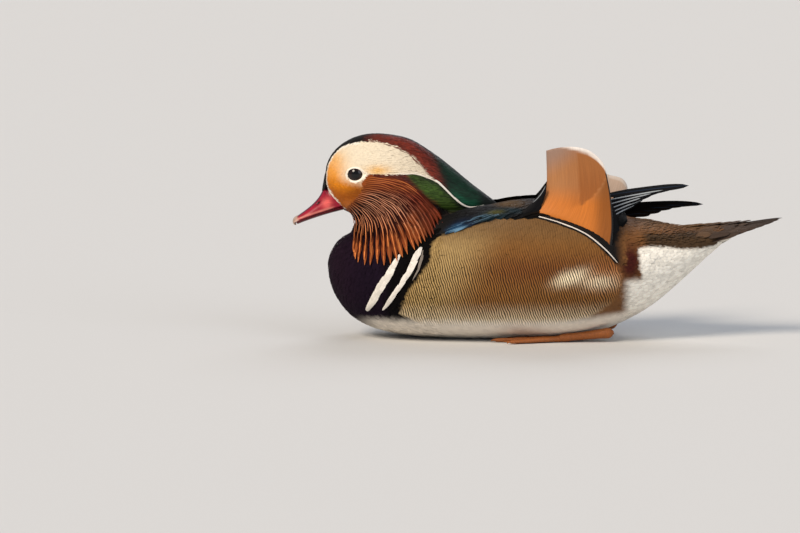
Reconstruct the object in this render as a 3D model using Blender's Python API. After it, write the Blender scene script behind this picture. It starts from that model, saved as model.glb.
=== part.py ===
"""A life-size mandarin drake, afloat with his neck drawn in, set down on his belly.

Lengths in this file are millimetres, and each mesh is scaled to metres as it is made.
The bill points along -X, +Z is up, and the bird's left side is on -Y. The origin is on the
ground, midway between the tip of the bill and the tip of the tail.
"""

import math
import random

import bmesh
import bpy
from mathutils import Vector
from mathutils.bvhtree import BVHTree

MM = 0.001
GAP = 0.3

# Driving sizes of the bird.
LENGTH = 325.0
HALF_WIDTH = 59.5
EYE_RADIUS = 6.5
EYE_PLACE = (-120.7, 11.5, 109.2)
LID_RADIUS = 5.7
# How deep the cores lie under the tips of the crest and the hackles, and the wing's feathers' rise.
CREST_DEPTH = 3.4
NECK_DEPTH = 2.0
COVERT_RISE = 2.4
CULMEN = 30.0
BILL_BASE = (-135.5, 91.0)
BILL_SLOPE = math.radians(32.0)

# Rows of the trunk: place along the bird, lowest, widest and highest level, and half width.
TRUNK = (
    (-139.8, 46.5, 47.5, 48.5, 0.0),
    (-137.5, 35.0, 46.5, 56.0, 13.5),
    (-132.0, 23.5, 45.0, 64.0, 26.0),
    (-122.0, 12.5, 43.5, 69.5, 38.5),
    (-106.0, 5.0, 42.0, 73.5, 48.5),
    (-82.0, 0.6, 41.0, 78.0, 55.5),
    (-52.0, -0.8, 41.0, 83.0, 58.8),
    (-18.0, -1.0, 42.0, 89.0, HALF_WIDTH),
    (12.0, -0.8, 44.0, 90.5, 58.2),
    (38.0, 3.5, 48.0, 87.0, 53.0),
    (58.0, 11.5, 52.0, 80.5, 45.5),
    (76.0, 22.0, 56.5, 75.5, 37.0),
    (90.0, 33.5, 60.0, 73.0, 30.0),
    (102.0, 44.5, 63.0, 71.8, 24.5),
    (112.0, 54.0, 65.5, 71.0, 20.0),
    (120.0, 61.0, 67.5, 70.5, 14.0),
    (125.0, 66.5, 68.0, 69.5, 0.0),
)
# The same for the head with its crest, from the brow to the crest's point.
HEAD = (
    (-141.5, 105.0, 106.0, 107.0, 0.0),
    (-140.2, 98.0, 105.0, 114.5, 6.0),
    (-136.0, 89.0, 103.0, 122.3, 11.0),
    (-130.0, 84.5, 102.0, 128.0, 14.5),
    (-121.0, 80.5, 101.0, 132.8, 17.3),
    (-110.0, 76.5, 99.0, 135.0, 19.5),
    (-97.0, 74.0, 98.0, 134.4, 20.5),
    (-84.0, 73.0, 97.0, 131.3, 19.8),
    (-70.0, 74.0, 96.0, 122.8, 17.5),
    (-57.0, 77.0, 94.0, 113.0, 14.5),
    (-45.0, 80.0, 92.5, 103.0, 11.5),
    (-36.0, 84.0, 91.0, 96.2, 8.0),
    (-30.0, 87.0, 90.0, 91.8, 4.5),
    (-27.0, 89.0, 89.5, 90.0, 0.0),
)
# The same for the neck, read upwards: level, foremost, widest and hindmost place, half width.
NECK = (
    (44.0, -92.0, -88.0, -84.0, 0.0),
    (50.0, -112.0, -88.0, -64.0, 24.0),
    (60.0, -121.0, -90.0, -62.0, 32.0),
    (69.0, -124.3, -91.0, -60.0, 31.0),
    (77.0, -122.0, -92.0, -60.0, 28.5),
    (86.0, -123.5, -95.0, -62.0, 25.5),
    (96.0, -123.0, -97.0, -66.0, 22.0),
    (106.0, -118.0, -98.0, -74.0, 17.0),
    (112.0, -102.0, -98.0, -92.0, 0.0),
)
TRUNK_TOP_POWER, TRUNK_LOW_POWER = 2.4, 2.1
HEAD_TOP_POWER, HEAD_LOW_POWER = 2.0, 2.1
NECK_POWER = 2.1

# Cuts through the head and neck, as a point and a direction in side view.
NAPE_CUT = ((-122.5, 77.0), (0.42, 0.9075))
CREST_CUT = ((-100.0, 104.0), (0.910, -0.414))


def clear_scene():
    for thing in list(bpy.data.objects):
        bpy.data.objects.remove(thing, do_unlink=True)


def plumage(name, colour, roughness=0.7, metallic=0.0):
    made = bpy.data.materials.new(name)
    made.use_nodes = True
    shader = made.node_tree.nodes["Principled BSDF"]
    shader.inputs["Base Color"].default_value = (*colour, 1.0)
    shader.inputs["Roughness"].default_value = roughness
    shader.inputs["Metallic"].default_value = metallic
    return made


def solid(name, points, faces, material=None):
    """A closed mesh object from points in millimetres, with its faces pointing out."""
    mesh = bpy.data.meshes.new(name)
    mesh.from_pydata([tuple(MM * c for c in p) for p in points], [], faces)
    shape = bmesh.new()
    shape.from_mesh(mesh)
    bmesh.ops.remove_doubles(shape, verts=shape.verts, dist=0.02 * MM)
    bmesh.ops.recalc_face_normals(shape, faces=shape.faces)
    shape.to_mesh(mesh)
    shape.free()
    made = bpy.data.objects.new(name, mesh)
    bpy.context.scene.collection.objects.link(made)
    if material:
        mesh.materials.append(material)
    return made


def settle(thing):
    """Applies the object's modifiers."""
    bpy.context.view_layer.update()
    graph = bpy.context.evaluated_depsgraph_get()
    mesh = bpy.data.meshes.new_from_object(thing.evaluated_get(graph))
    thing.modifiers.clear()
    thing.data = mesh
    return thing


def keep_largest(thing):
    """Drops every closed surface but the largest one."""
    shape = bmesh.new()
    shape.from_mesh(thing.data)
    left = set(shape.verts)
    islands = []
    while left:
        start = left.pop()
        island, front = {start}, [start]
        while front:
            for edge in front.pop().link_edges:
                for vert in edge.verts:
                    if vert in left:
                        left.discard(vert)
                        island.add(vert)
                        front.append(vert)
        islands.append(island)
    islands.sort(key=len)
    loose = [vert for island in islands[:-1] for vert in island]
    bmesh.ops.delete(shape, geom=loose, context="VERTS")
    shape.to_mesh(thing.data)
    shape.free()
    return thing


def boolean(thing, others, operation, solver="EXACT"):
    """One Boolean of the object with a collection of closed meshes, which it uses up."""
    if not others:
        return thing
    tools = bpy.data.collections.new("tools")
    bpy.context.scene.collection.children.link(tools)
    for other in others:
        tools.objects.link(other)
        if thing.data.materials and not other.data.materials:
            other.data.materials.append(thing.data.materials[0])
    step = thing.modifiers.new("join", "BOOLEAN")
    step.operation = operation
    step.operand_type = "COLLECTION"
    step.collection = tools
    step.solver = solver
    settle(thing)
    for other in others:
        bpy.data.objects.remove(other, do_unlink=True)
    bpy.data.collections.remove(tools)
    return keep_largest(thing)


def row_at(rows, x):
    """A loft's row at any place, read from a smooth curve through the given rows."""
    def slope(i, k):
        low, high = max(0, i - 1), min(len(rows) - 1, i + 1)
        return (rows[high][k] - rows[low][k]) / (rows[high][0] - rows[low][0])

    i = next((i for i in range(1, len(rows)) if x <= rows[i][0]), len(rows) - 1)
    a, b = rows[i - 1], rows[i]
    width = b[0] - a[0]
    t = (x - a[0]) / width
    row = [x]
    for k in range(1, len(a)):
        ease = t * t * (3 - 2 * t)
        bend = width * (slope(i - 1, k) * t * (1 - t) ** 2 - slope(i, k) * t * t * (1 - t))
        row.append(a[k] + (b[k] - a[k]) * ease + bend)
    return row


def eased(rows, count):
    """That many rows and one, closer together at the ends."""
    made = []
    for n in range(count + 1):
        share = 0.5 - 0.5 * math.cos(math.pi * n / count)
        share = 0.35 * n / count + 0.65 * share
        made.append(row_at(rows, rows[0][0] + share * (rows[-1][0] - rows[0][0])))
    return made


def edge(low, mid, high, half, angle, powers):
    """A point of a superellipse, as an (across, up) pair. The angle starts at its widest level."""
    across, up = math.cos(angle), math.sin(angle)
    power = powers[0] if up > 0 else powers[1]
    size = (abs(across) ** power + abs(up) ** power) ** (-1 / power)
    reach = high - mid if up > 0 else mid - low
    return half * across * size, mid + reach * up * size


def on_loft(rows, powers, x, angle, grow):
    """A point over or under a loft's surface, and the way out of it."""
    def place(x, angle, grow):
        x, low, mid, high, half = row_at(rows, x)
        return Vector((x, *edge(low - grow, mid, high + grow, half + grow, angle, powers)))

    around = place(x, angle + 0.02, 0.0) - place(x, angle - 0.02, 0.0)
    along = place(x + 0.5, angle, 0.0) - place(x - 0.5, angle, 0.0)
    return place(x, angle, grow), along.cross(around).normalized()


def loft(name, rows, count, sides, powers, grow=0.0, upright=False, material=None):
    """A closed body through rows of (place, low, mid, high, half width)."""
    rows = eased(rows, count)
    points, faces = [], []
    for x, low, mid, high, half in rows[1:-1]:
        low, high = min(low - grow, mid - GAP), max(high + grow, mid + GAP)
        half = max(half + grow, GAP)
        for n in range(sides):
            angle = 2 * math.pi * n / sides
            across, up = edge(low, mid, high, half, angle, powers)
            points.append((up, across, x) if upright else (x, across, up))
    ends = []
    for row, sign in ((rows[0], -1), (rows[-1], 1)):
        x, mid = row[0] + sign * grow, row[2]
        ends.append(len(points))
        points.append((mid, 0.0, x) if upright else (x, 0.0, mid))
    bands = len(rows) - 2
    for b in range(bands - 1):
        for n in range(sides):
            m = (n + 1) % sides
            faces.append((b * sides + n, b * sides + m, (b + 1) * sides + m, (b + 1) * sides + n))
    for n in range(sides):
        m = (n + 1) % sides
        faces.append((ends[0], m, n))
        faces.append((ends[1], (bands - 1) * sides + n, (bands - 1) * sides + m))
    return solid(name, points, faces, material)


def trunk_body(name, grow=0.0, count=26, sides=26, material=None):
    powers = (TRUNK_TOP_POWER, TRUNK_LOW_POWER)
    return loft(name, TRUNK, count, sides, powers, grow, material=material)


def slab(name, place, along, reach, depth, side):
    """A big block on one side of a cut that runs along a direction in side view."""
    direction = Vector((along[0], 0, along[1])).normalized()
    normal = Vector((-direction.z, 0, direction.x)) * side
    start = Vector((place[0], 0, place[1])) - normal * (GAP / 2)
    corners = []
    for u in (-reach, reach):
        for v in (0.0, depth):
            for y in (-reach, reach):
                corners.append(tuple(start + direction * u + normal * v + Vector((0, y, 0))))
    faces = [(0, 1, 3, 2), (4, 6, 7, 5), (0, 4, 5, 1), (2, 3, 7, 6), (0, 2, 6, 4), (1, 5, 7, 3)]
    return solid(name, corners, faces)


def copy_of(thing, name, material=None):
    made = thing.copy()
    made.data = thing.data.copy()
    made.name = name
    bpy.context.scene.collection.objects.link(made)
    if material:
        made.data.materials.clear()
        made.data.materials.append(material)
    return made


def smooth_union(name, things, voxel, triangles):
    """The things melted into one even surface of about that many triangles."""
    body = boolean(things[0], things[1:], "UNION")
    body.name = name
    remesh = body.modifiers.new("even", "REMESH")
    remesh.mode = "VOXEL"
    remesh.voxel_size = voxel * MM
    soften = body.modifiers.new("soften", "SMOOTH")
    soften.factor, soften.iterations = 0.5, 6
    settle(body)
    fewer = body.modifiers.new("fewer", "DECIMATE")
    fewer.ratio = triangles / (2 * len(body.data.polygons))
    return settle(body)


def ellipsoid(name, place, radii, rings=8, sides=14, turn=0.0, material=None):
    points, faces = [], []
    for r in range(1, rings):
        tilt = math.pi * r / rings
        for n in range(sides):
            angle = 2 * math.pi * n / sides
            x = radii[0] * math.sin(tilt) * math.cos(angle)
            z = radii[2] * math.sin(tilt) * math.sin(angle)
            y = radii[1] * math.cos(tilt)
            points.append((
                place[0] + x * math.cos(turn) - z * math.sin(turn),
                place[1] + y,
                place[2] + x * math.sin(turn) + z * math.cos(turn),
            ))
    points += [(place[0], place[1] + s * radii[1], place[2]) for s in (1, -1)]
    last = len(points) - 2
    for r in range(rings - 2):
        for n in range(sides):
            m = (n + 1) % sides
            faces.append((r * sides + n, r * sides + m, (r + 1) * sides + m, (r + 1) * sides + n))
    for n in range(sides):
        m = (n + 1) % sides
        faces.append((last, m, n))
        faces.append((last + 1, (rings - 2) * sides + n, (rings - 2) * sides + m))
    return solid(name, points, faces, material)


# Stations along a feather, with its half width at each one as a share of the widest.
STATIONS = (0.0, 0.22, 0.5, 0.8, 1.0)
BROAD = (0.45, 0.9, 1.0, 0.85)
POINTED = (0.5, 0.95, 0.85, 0.5)


def vane(path, outs, half, thick, shape=BROAD):
    """One feather as a flat closed vane, its last station drawn to a point."""
    points, faces = [], []
    for n, share in enumerate(shape):
        along = (path[n + 1] - path[max(0, n - 1)]).normalized()
        across = along.cross(outs[n]).normalized()
        over = across.cross(along)
        deep = thick * (1.0 if n < 3 else 0.7)
        for step in (across * half * share, over * deep, -across * half * share, -over * deep):
            points.append(tuple(path[n] + step))
    points.append(tuple(path[-1]))
    last = 4 * (len(shape) - 1)
    for n in range(len(shape) - 1):
        for k in range(4):
            a, b = 4 * n + k, 4 * n + (k + 1) % 4
            faces += [(a, b, b + 4), (a, b + 4, a + 4)]
    faces += [(last + k, last + (k + 1) % 4, last + 4) for k in range(4)]
    faces += [(0, 2, 1), (0, 3, 2)]
    return solid("vane", points, faces)


def loft_vane(rows, powers, start, end, heights, half, thick, shape=BROAD):
    """A feather that lies along a loft, from one (place, angle) to another."""
    path, outs = [], []
    for share, height in zip(STATIONS, heights):
        x = start[0] + (end[0] - start[0]) * share
        angle = math.radians(start[1] + (end[1] - start[1]) * share)
        place, out = on_loft(rows, powers, x, angle, height)
        path.append(place)
        outs.append(out)
    return vane(path, outs, half, thick, shape)


def surface_of(things):
    """The things' outsides as one tree that rays can be cast at, in millimetres."""
    points, faces = [], []
    for thing in things:
        start = len(points)
        points += [vert.co / MM for vert in thing.data.vertices]
        faces += [[start + n for n in face.vertices] for face in thing.data.polygons]
    return BVHTree.FromPolygons(points, faces)


def bill_point(along, up, across=0.0):
    """A point from distances along the bill, above its axis and to one side."""
    c, s = math.cos(BILL_SLOPE), math.sin(BILL_SLOPE)
    return (BILL_BASE[0] - along * c - up * s, across, BILL_BASE[1] - along * s + up * c)


def bill_half(name, rows, sides, flat_top, material, grow=0.0):
    """Half a bill through rows of (along, low, high, half width), with one flat face."""
    points, faces = [], []
    for along, low, high, half in rows:
        low, high, half = low - grow, high + grow, half + grow
        for n in range(sides):
            angle = math.pi * n / (sides - 1)
            bow = (high - low) * math.sin(angle) ** 0.8
            up = high - bow if flat_top else low + bow
            points.append(bill_point(along, up, half * math.cos(angle)))
    for r in range(len(rows) - 1):
        for n in range(sides):
            m = (n + 1) % sides
            faces.append((r * sides + n, r * sides + m, (r + 1) * sides + m, (r + 1) * sides + n))
    faces.append(tuple(range(sides)))
    faces.append(tuple((len(rows) - 1) * sides + n for n in reversed(range(sides))))
    return solid(name, points, faces, material)


def bill_rows(edge, outer, half, spots):
    return [(s, *sorted((edge(s), outer(s))), half(s)) for s in spots]


def mouth_line(s):
    return -6.0 + 0.30 * s - 0.0025 * s * s


def culmen_line(s):
    if s < 1.5:
        return 9.0 + 0.55 * (s - 1.5)
    return 3.3 + 7.0 * math.exp(-s / 7.5) if s < 26 else 3.4 - 0.22 * (s - 26) ** 1.7


def chin_line(s):
    return mouth_line(s) - 1.6 - 0.8 * (1 - s / CULMEN)


def bill_half_width(s):
    blunt = max(0.0, (s - 24) / 7.5)
    return (8.2 - 0.095 * s) * math.sqrt(max(0.08, 1 - blunt ** 2.4))


UPPER_SPOTS = (-7, 0, 4, 8, 12, 16, 20, 24, 27, 29, 30.5)
LOWER_SPOTS = (-6, 0, 7, 14, 20, 23, 24.8)


def upper_bill(name, material=None, grow=0.0):
    rows = bill_rows(mouth_line, culmen_line, bill_half_width, UPPER_SPOTS)
    rows[0] = (rows[0][0] - grow, *rows[0][1:])
    return bill_half(name, rows, 11, False, material, grow)


def lower_bill(name, material=None, grow=0.0):
    rows = bill_rows(lambda s: mouth_line(s) - GAP, chin_line, lambda s: 0.86 * bill_half_width(s), LOWER_SPOTS)
    rows[0] = (rows[0][0] - grow, *rows[0][1:])
    return bill_half(name, rows, 9, True, material, grow)


def make_bill(head, horn, nail):
    upper = upper_bill("bill_upper", horn)
    tip = ellipsoid("nail", bill_point(28.4, 1.1), (2.9, 2.9, 2.6), 6, 10, material=nail)
    boolean(upper, [tip], "UNION")
    pits = []
    for side in (-1, 1):
        place = bill_point(8.6, 3.4, side * 7.0)
        pits.append(ellipsoid("nostril", place, (2.2, 1.5, 0.9), 6, 10, BILL_SLOPE))
    boolean(upper, pits, "DIFFERENCE")
    lower_bill("bill_lower", horn)
    rooms = [upper_bill("room", None, GAP), lower_bill("room", None, GAP)]
    boolean(head, rooms, "DIFFERENCE", "MANIFOLD")


def body_ring(points, name, sides, material):
    """A closed tube through (centre, across, up) rings that ends in two points."""
    made, faces = [], []
    rings = points[1:-1]
    for centre, across, up in rings:
        for n in range(sides):
            angle = 2 * math.pi * n / sides
            made.append(tuple(centre + across * math.cos(angle) + up * math.sin(angle)))
    made += [tuple(points[0][0]), tuple(points[-1][0])]
    ends = (len(made) - 2, len(made) - 1)
    for r in range(len(rings) - 1):
        for n in range(sides):
            m = (n + 1) % sides
            faces.append((r * sides + n, r * sides + m, (r + 1) * sides + m))
            faces.append((r * sides + n, (r + 1) * sides + m, (r + 1) * sides + n))
    for n in range(sides):
        m = (n + 1) % sides
        faces.append((ends[0], m, n))
        faces.append((ends[1], (len(rings) - 1) * sides + n, (len(rings) - 1) * sides + m))
    return solid(name, made, faces, material)


CREST_HEIGHTS = (-5.4, -2.9, -1.7, -1.0, -0.3)


def crest_vanes(draw):
    """Feathers from the crown to the crest's point, in rows that overlap like tiles."""
    made = []
    powers = (HEAD_TOP_POWER, HEAD_LOW_POWER)
    for row in range(5):
        spread = (90, 52, 14, -22) if row % 2 else (71, 33, -4)
        for tilt in spread:
            x, _, mid, high, _ = row_at(HEAD, -98.0)
            level = mid + (high - mid) * math.sin(math.radians(tilt))
            fore = NAPE_CUT[0][0] + (level - NAPE_CUT[0][1]) * NAPE_CUT[1][0] / NAPE_CUT[1][1]
            start = fore + 1.0 + 14.0 * row + draw.uniform(-1.0, 1.0)
            end = min(start + 36.0, -28.4 - 0.10 * (90 - tilt))
            if end - start < 14.0:
                continue
            half = 0.24 * row_at(HEAD, 0.5 * (start + end))[4] + 1.6
            for angle in {tilt, 180 - tilt}:
                drift = draw.uniform(-2.0, 2.0)
                ways = ((start, angle), (end, angle + drift))
                made.append(loft_vane(HEAD, powers, *ways, CREST_HEIGHTS, half, 0.5, POINTED))
    return made


# Where the hackles of the ruff start and end in side view, from the throat round to the nape.
RUFF_ROOTS = (
    (-116.5, 88.0), (-113.0, 96.0), (-109.5, 103.0), (-103.0, 104.0), (-97.0, 101.5),
    (-91.0, 99.0), (-85.0, 96.0), (-79.0, 93.5), (-73.5, 90.5),
)
RUFF_TIPS = (
    (-123.0, 61.0), (-118.5, 52.5), (-111.5, 50.5), (-104.0, 49.5), (-96.0, 52.5),
    (-87.0, 57.0), (-79.0, 62.0), (-73.0, 67.0), (-67.0, 76.0),
)
HACKLE_HEIGHTS = (-4.0, 0.0, 1.4, 1.9, 1.7)
# For each tier of hackles, where it starts and ends between those two lines, and its lift.
RUFF_TIERS = ((0.50, 1.0, 0.0), (0.24, 0.95, 1.1), (0.0, 0.76, 2.2))


def along_line(line, share):
    spot = share * (len(line) - 1)
    n = min(int(spot), len(line) - 2)
    a, b = line[n], line[n + 1]
    return tuple(p + (q - p) * (spot - n) for p, q in zip(a, b))


def hackle(surface, start, end, side, lift, half):
    """One hackle, bowed back in side view and laid on the neck and breast under it."""
    path, outs = [], []
    for share, height in zip(STATIONS, HACKLE_HEIGHTS):
        bow = 4 * share * (1 - share)
        x = start[0] + (end[0] - start[0]) * share + 1.8 * bow
        z = start[1] + (end[1] - start[1]) * share + 1.0 * bow
        hit, out, _, _ = surface.ray_cast(Vector((x, 300 * side, z)), Vector((0, -side, 0)))
        path.append(hit + out * (height + lift * share))
        outs.append(out)
    return vane(path, outs, half, 0.5, POINTED)


def throat_hackle(surface, across, start, end):
    path, outs = [], []
    for share, height in zip(STATIONS, HACKLE_HEIGHTS):
        z = start + (end - start) * share
        hit, out, _, _ = surface.ray_cast(Vector((-400, across, z)), Vector((1, 0, 0)))
        path.append(hit + out * height)
        outs.append(out)
    return vane(path, outs, 2.6, 0.5, POINTED)


def neck_vanes(surface, draw):
    """The ruff: three tiers of long hackles on each side, and short ones down the throat."""
    made = []
    for side in (-1, 1):
        for tier, (top, foot, lift) in enumerate(RUFF_TIERS):
            for n in range(9):
                share = (n + (0.5 if tier == 1 else 0.0) + draw.uniform(-0.12, 0.12)) / 8.5
                share = min(1.0, max(0.0, share))
                root, tip = along_line(RUFF_ROOTS, share), along_line(RUFF_TIPS, share)
                reach = foot * draw.uniform(0.96, 1.0)
                start = tuple(a + (b - a) * top for a, b in zip(root, tip))
                end = tuple(a + (b - a) * reach for a, b in zip(root, tip))
                made.append(hackle(surface, start, end, side, lift, draw.uniform(2.5, 3.1)))
    for across in (-11.0, -5.5, 0.0, 5.5, 11.0):
        made.append(throat_hackle(surface, across, 84.5, 71.5 - 0.25 * abs(across)))
    return made


# A folded wing, row by row: place, half width along the body, half thickness and roll.
WING = (
    ((-67.0, 39.0, 72.5), 0.5, 0.5, 50.0),
    ((-59.0, 35.0, 76.0), 7.5, 2.6, 44.0),
    ((-45.0, 30.5, 79.6), 11.0, 3.4, 34.0),
    ((-20.0, 23.5, 84.2), 13.0, 3.6, 21.0),
    ((5.0, 23.0, 85.4), 13.5, 3.6, 19.0),
    ((25.0, 27.0, 82.6), 17.0, 3.6, 27.0),
    ((41.0, 28.0, 79.5), 18.0, 3.2, 33.0),
    ((54.0, 22.0, 80.5), 8.0, 2.6, 38.0),
    ((60.0, 19.0, 81.5), 0.5, 0.5, 40.0),
)


def wing_rings(side, grow=0.0):
    rings = []
    for place, half, thick, roll in WING:
        roll = math.radians(roll)
        centre = Vector((place[0], side * place[1], place[2]))
        across = Vector((0, side * math.cos(roll), -math.sin(roll))) * (half + grow)
        up = Vector((0, side * math.sin(roll), math.cos(roll))) * (thick + grow)
        rings.append((centre, across, up))
    rings[0] = (rings[0][0] - Vector((grow, 0, 0)), *rings[0][1:])
    rings[-1] = (rings[-1][0] + Vector((grow, 0, 0)), *rings[-1][1:])
    return rings


def on_wing(rings, x, across, height):
    """A point over the folded wing's upper face, and the way up from it."""
    n = next((n for n in range(1, len(rings)) if x <= rings[n][0].x), len(rings) - 1)
    a, b = rings[n - 1], rings[n]
    share = (x - a[0].x) / (b[0].x - a[0].x)
    centre, wide, up = (p.lerp(q, share) for p, q in zip(a, b))
    way = up.normalized() + wide.normalized() * across * 0.1
    return centre + wide * across + up * math.sqrt(1 - across * across) + way * height, way.normalized()


# Rows of scapulars and coverts over the wing: root, tip, how many side by side and half width.
WING_ROWS = (
    (-57.0, -28.0, 2, 5.4), (-44.0, -8.0, 3, 5.4), (-26.0, 14.0, 3, 6.0), (-6.0, 34.0, 3, 6.8), (13.0, 53.0, 3, 7.4),
)
# The primaries of each folded wing, longest first: tip's place, across and height.
NEAR_TIPS = (
    (99.0, 8.0, 101.4), (95.0, 10.0, 99.4), (87.0, 12.0, 96.4), (78.0, 14.0, 93.2), (69.0, 16.0, 90.0),
)
FAR_TIPS = (
    (108.7, 8.0, 87.4), (103.0, 10.0, 87.0), (95.0, 12.0, 86.4), (85.0, 14.0, 85.8), (74.0, 16.0, 85.0),
)


def wing_vanes(side, draw):
    """The folded wing's feathers: tiers along its upper face, then the stacked primaries."""
    made = []
    rings = wing_rings(side)
    for start, end, count, half in WING_ROWS:
        for n in range(count):
            across = 0.62 * (2 * (n + 0.5) / count - 1)
            slip = draw.uniform(-1.5, 1.5)
            path, outs = [], []
            for share, height in zip(STATIONS, (-2.2, -0.2, 0.5, 1.0, 1.3)):
                x = start + slip + (end - start) * share
                place, out = on_wing(rings, x, across, height)
                path.append(place)
                outs.append(out)
            made.append(vane(path, outs, half, 0.5))
    tips = NEAR_TIPS if side < 0 else FAR_TIPS
    for n, (x, y, z) in enumerate(tips):
        root = Vector((44.0, side * (17.0 + 0.9 * n), 87.0 - 0.6 * n))
        tip = Vector((x, side * y, z))
        bow = Vector((0, 0, 8.0 if side < 0 else 2.0))
        path = [root.lerp(tip, share) + bow * share * (1 - share) for share in STATIONS]
        outs = [Vector((0, side * 0.75, 0.66))] * len(path)
        made.append(vane(path, outs, 3.6, 0.5))
    return made


def make_wing(name, side, draw, material):
    """The folded wing with its feathers, which are trimmed where they would dip into the flank."""
    wing = body_ring(wing_rings(side), name, 12, material)
    boolean(wing, wing_vanes(side, draw), "UNION", "MANIFOLD")
    flank = trunk_body("flank", GAP)
    boolean(flank, [body_ring(wing_rings(side, GAP / 2), "room", 12, None)], "DIFFERENCE", "MANIFOLD")
    return boolean(wing, [flank], "DIFFERENCE", "MANIFOLD")


SAIL_ROWS, SAIL_COLUMNS = 8, 8
# The sail's share below its base, which the wing and the flank then cut away.
SAIL_SINK = -0.12


def sail_point(u, v, side):
    """A point of the sail's middle surface: u runs up it and v from its front to its rear."""
    base = Vector((-4.5 + 54.0 * v, 0, 82.0 - 2.0 * v - 20.0 * v * v))
    crown = 8.0 * math.sin(math.pi * v)
    top = Vector((6.0 + 41.0 * v, 0, 124.0 + crown - 13.0 * v ** 4))
    place = base.lerp(top, u)
    bow = math.sin(math.pi * max(0.0, u))
    place.x += 5.0 * bow * (1 - v) + 1.5 * bow * v
    lean = 32.5 + 13.0 * v * v + 4.0 * math.sin(math.pi * v)
    lean -= 3.0 * math.sin(0.5 * math.pi * u) - 4.0 * u * u
    place.y = side * (lean + 2.5 * math.sin(math.pi * v) * u)
    if side > 0:
        place.x += 11.0 * u
        place.z -= 19.0 * u * u
        place.y += 6.0 * u
    return place


def make_sail(name, side, material):
    """One broad upright vane, as thick as its curled web, triangulated alike on both faces."""
    front, back = [], []
    for r in range(SAIL_ROWS + 1):
        for c in range(SAIL_COLUMNS + 1):
            u, v = SAIL_SINK + (1 - SAIL_SINK) * r / SAIL_ROWS, c / SAIL_COLUMNS
            here = sail_point(u, v, side)
            du = sail_point(u + 0.01, v, side) - sail_point(u - 0.01, v, side)
            dv = sail_point(u, v + 0.01, side) - sail_point(u, v - 0.01, side)
            normal = du.cross(dv).normalized()
            half = 0.55 if 0 < c < SAIL_COLUMNS and r < SAIL_ROWS else 0.3
            front.append(tuple(here + normal * half))
            back.append(tuple(here - normal * half))
    points = front + back
    size, width = len(front), SAIL_COLUMNS + 1
    faces = []
    for r in range(SAIL_ROWS):
        for c in range(SAIL_COLUMNS):
            a = r * width + c
            b, d, e = a + 1, a + width, a + width + 1
            faces += [(a, b, e), (a, e, d)]
            faces += [(size + a, size + e, size + b), (size + a, size + d, size + e)]
    rim = [c for c in range(width)]
    rim += [r * width + SAIL_COLUMNS for r in range(1, SAIL_ROWS + 1)]
    rim += [SAIL_ROWS * width + c for c in reversed(range(SAIL_COLUMNS))]
    rim += [r * width for r in reversed(range(1, SAIL_ROWS))]
    for i, a in enumerate(rim):
        b = rim[(i + 1) % len(rim)]
        faces += [(a, size + a, size + b), (a, size + b, b)]
    return solid(name, points, faces, material)


TAIL_ROOT = (
    (103.0, 66.0, 9.0, 2.0), (108.0, 67.0, 15.0, 3.4), (117.0, 69.2, 17.0, 3.6), (128.0, 71.6, 14.0, 2.6),
    (136.0, 73.3, 8.0, 1.4), (142.0, 74.6, 0.5, 0.4),
)
# One side's tail feathers from the middle out: the tip's place along, across and up.
TAIL_TIPS = (
    (162.4, 1.6, 79.3), (160.0, 4.6, 77.7), (156.5, 7.8, 76.2), (152.0, 11.0, 74.6),
    (146.5, 14.2, 73.0), (140.5, 17.2, 71.4), (134.0, 19.8, 69.8),
)


def make_tail(draw, material):
    """A short root with fourteen feathers stepped down from the middle, and coverts over them."""
    rings = [(Vector((x, 0, z)), Vector((0, w, 0)), Vector((0, 0, t))) for x, z, w, t in TAIL_ROOT]
    tail = body_ring(rings, "tail", 12, material)
    made = []
    for side in (-1, 1):
        for n, (x, y, z) in enumerate(TAIL_TIPS):
            step = 0.45 if side > 0 else 0.0
            root = Vector((110.0, side * (1.6 + 1.9 * n), 69.6 - 0.72 * n - step))
            tip = Vector((x, side * y, z - step))
            path = [root.lerp(tip, share) for share in STATIONS]
            outs = [Vector((0, side * (0.08 + 0.03 * n), 1))] * len(path)
            made.append(vane(path, outs, 4.2, 0.5))
        for n in range(3):
            root = Vector((107.0, side * (2.5 + 5.0 * n), 69.6 - 0.9 * n))
            tip = Vector((139.0 - 5.0 * n + draw.uniform(-1, 1), side * (2.8 + 5.2 * n), 76.6 - 2.0 * n))
            path = [root.lerp(tip, share) + Vector((0, 0, 3.0 * share * (1 - share))) for share in STATIONS]
            made.append(vane(path, [Vector((0, side * 0.15 * n, 1))] * len(path), 4.0, 0.5))
    return boolean(tail, made, "UNION", "MANIFOLD")


def make_leg(side, material, grow=0.0):
    """A folded leg: the shank flat along the ground, and the webbed toes before it."""
    name = "leg_left" if side < 0 else "leg_right"
    rows = (
        ((52.0, 27.0, 6.2), 1.0), ((49.0, 27.0, 6.0), 4.2), ((43.0, 27.5, 5.2), 4.0),
        ((28.0, 30.0, 4.0), 3.4), ((16.0, 32.0, 3.4), 3.2), ((12.0, 32.5, 3.2), 1.0),
    )
    rings = []
    for place, radius in rows:
        centre = Vector((place[0], side * place[1], place[2]))
        rings.append((centre, Vector((0, radius + grow, 0)), Vector((0, 0, radius + grow))))
    shank = body_ring(rings, name, 10, material)
    toes = []
    for n, (reach, spread) in enumerate(((40.0, -18.0), (46.0, 4.0), (38.0, 25.0))):
        toes.append(make_toe(side, reach, math.radians(spread), grow))
    toes.append(make_web(side, grow))
    return boolean(shank, toes, "UNION")


TOE_ROOT = (17.0, 32.0)


def toe_way(side, reach, spread):
    ahead = Vector((-math.cos(spread), side * math.sin(spread), 0))
    return Vector((TOE_ROOT[0], side * TOE_ROOT[1], 0)), ahead * reach


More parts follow.
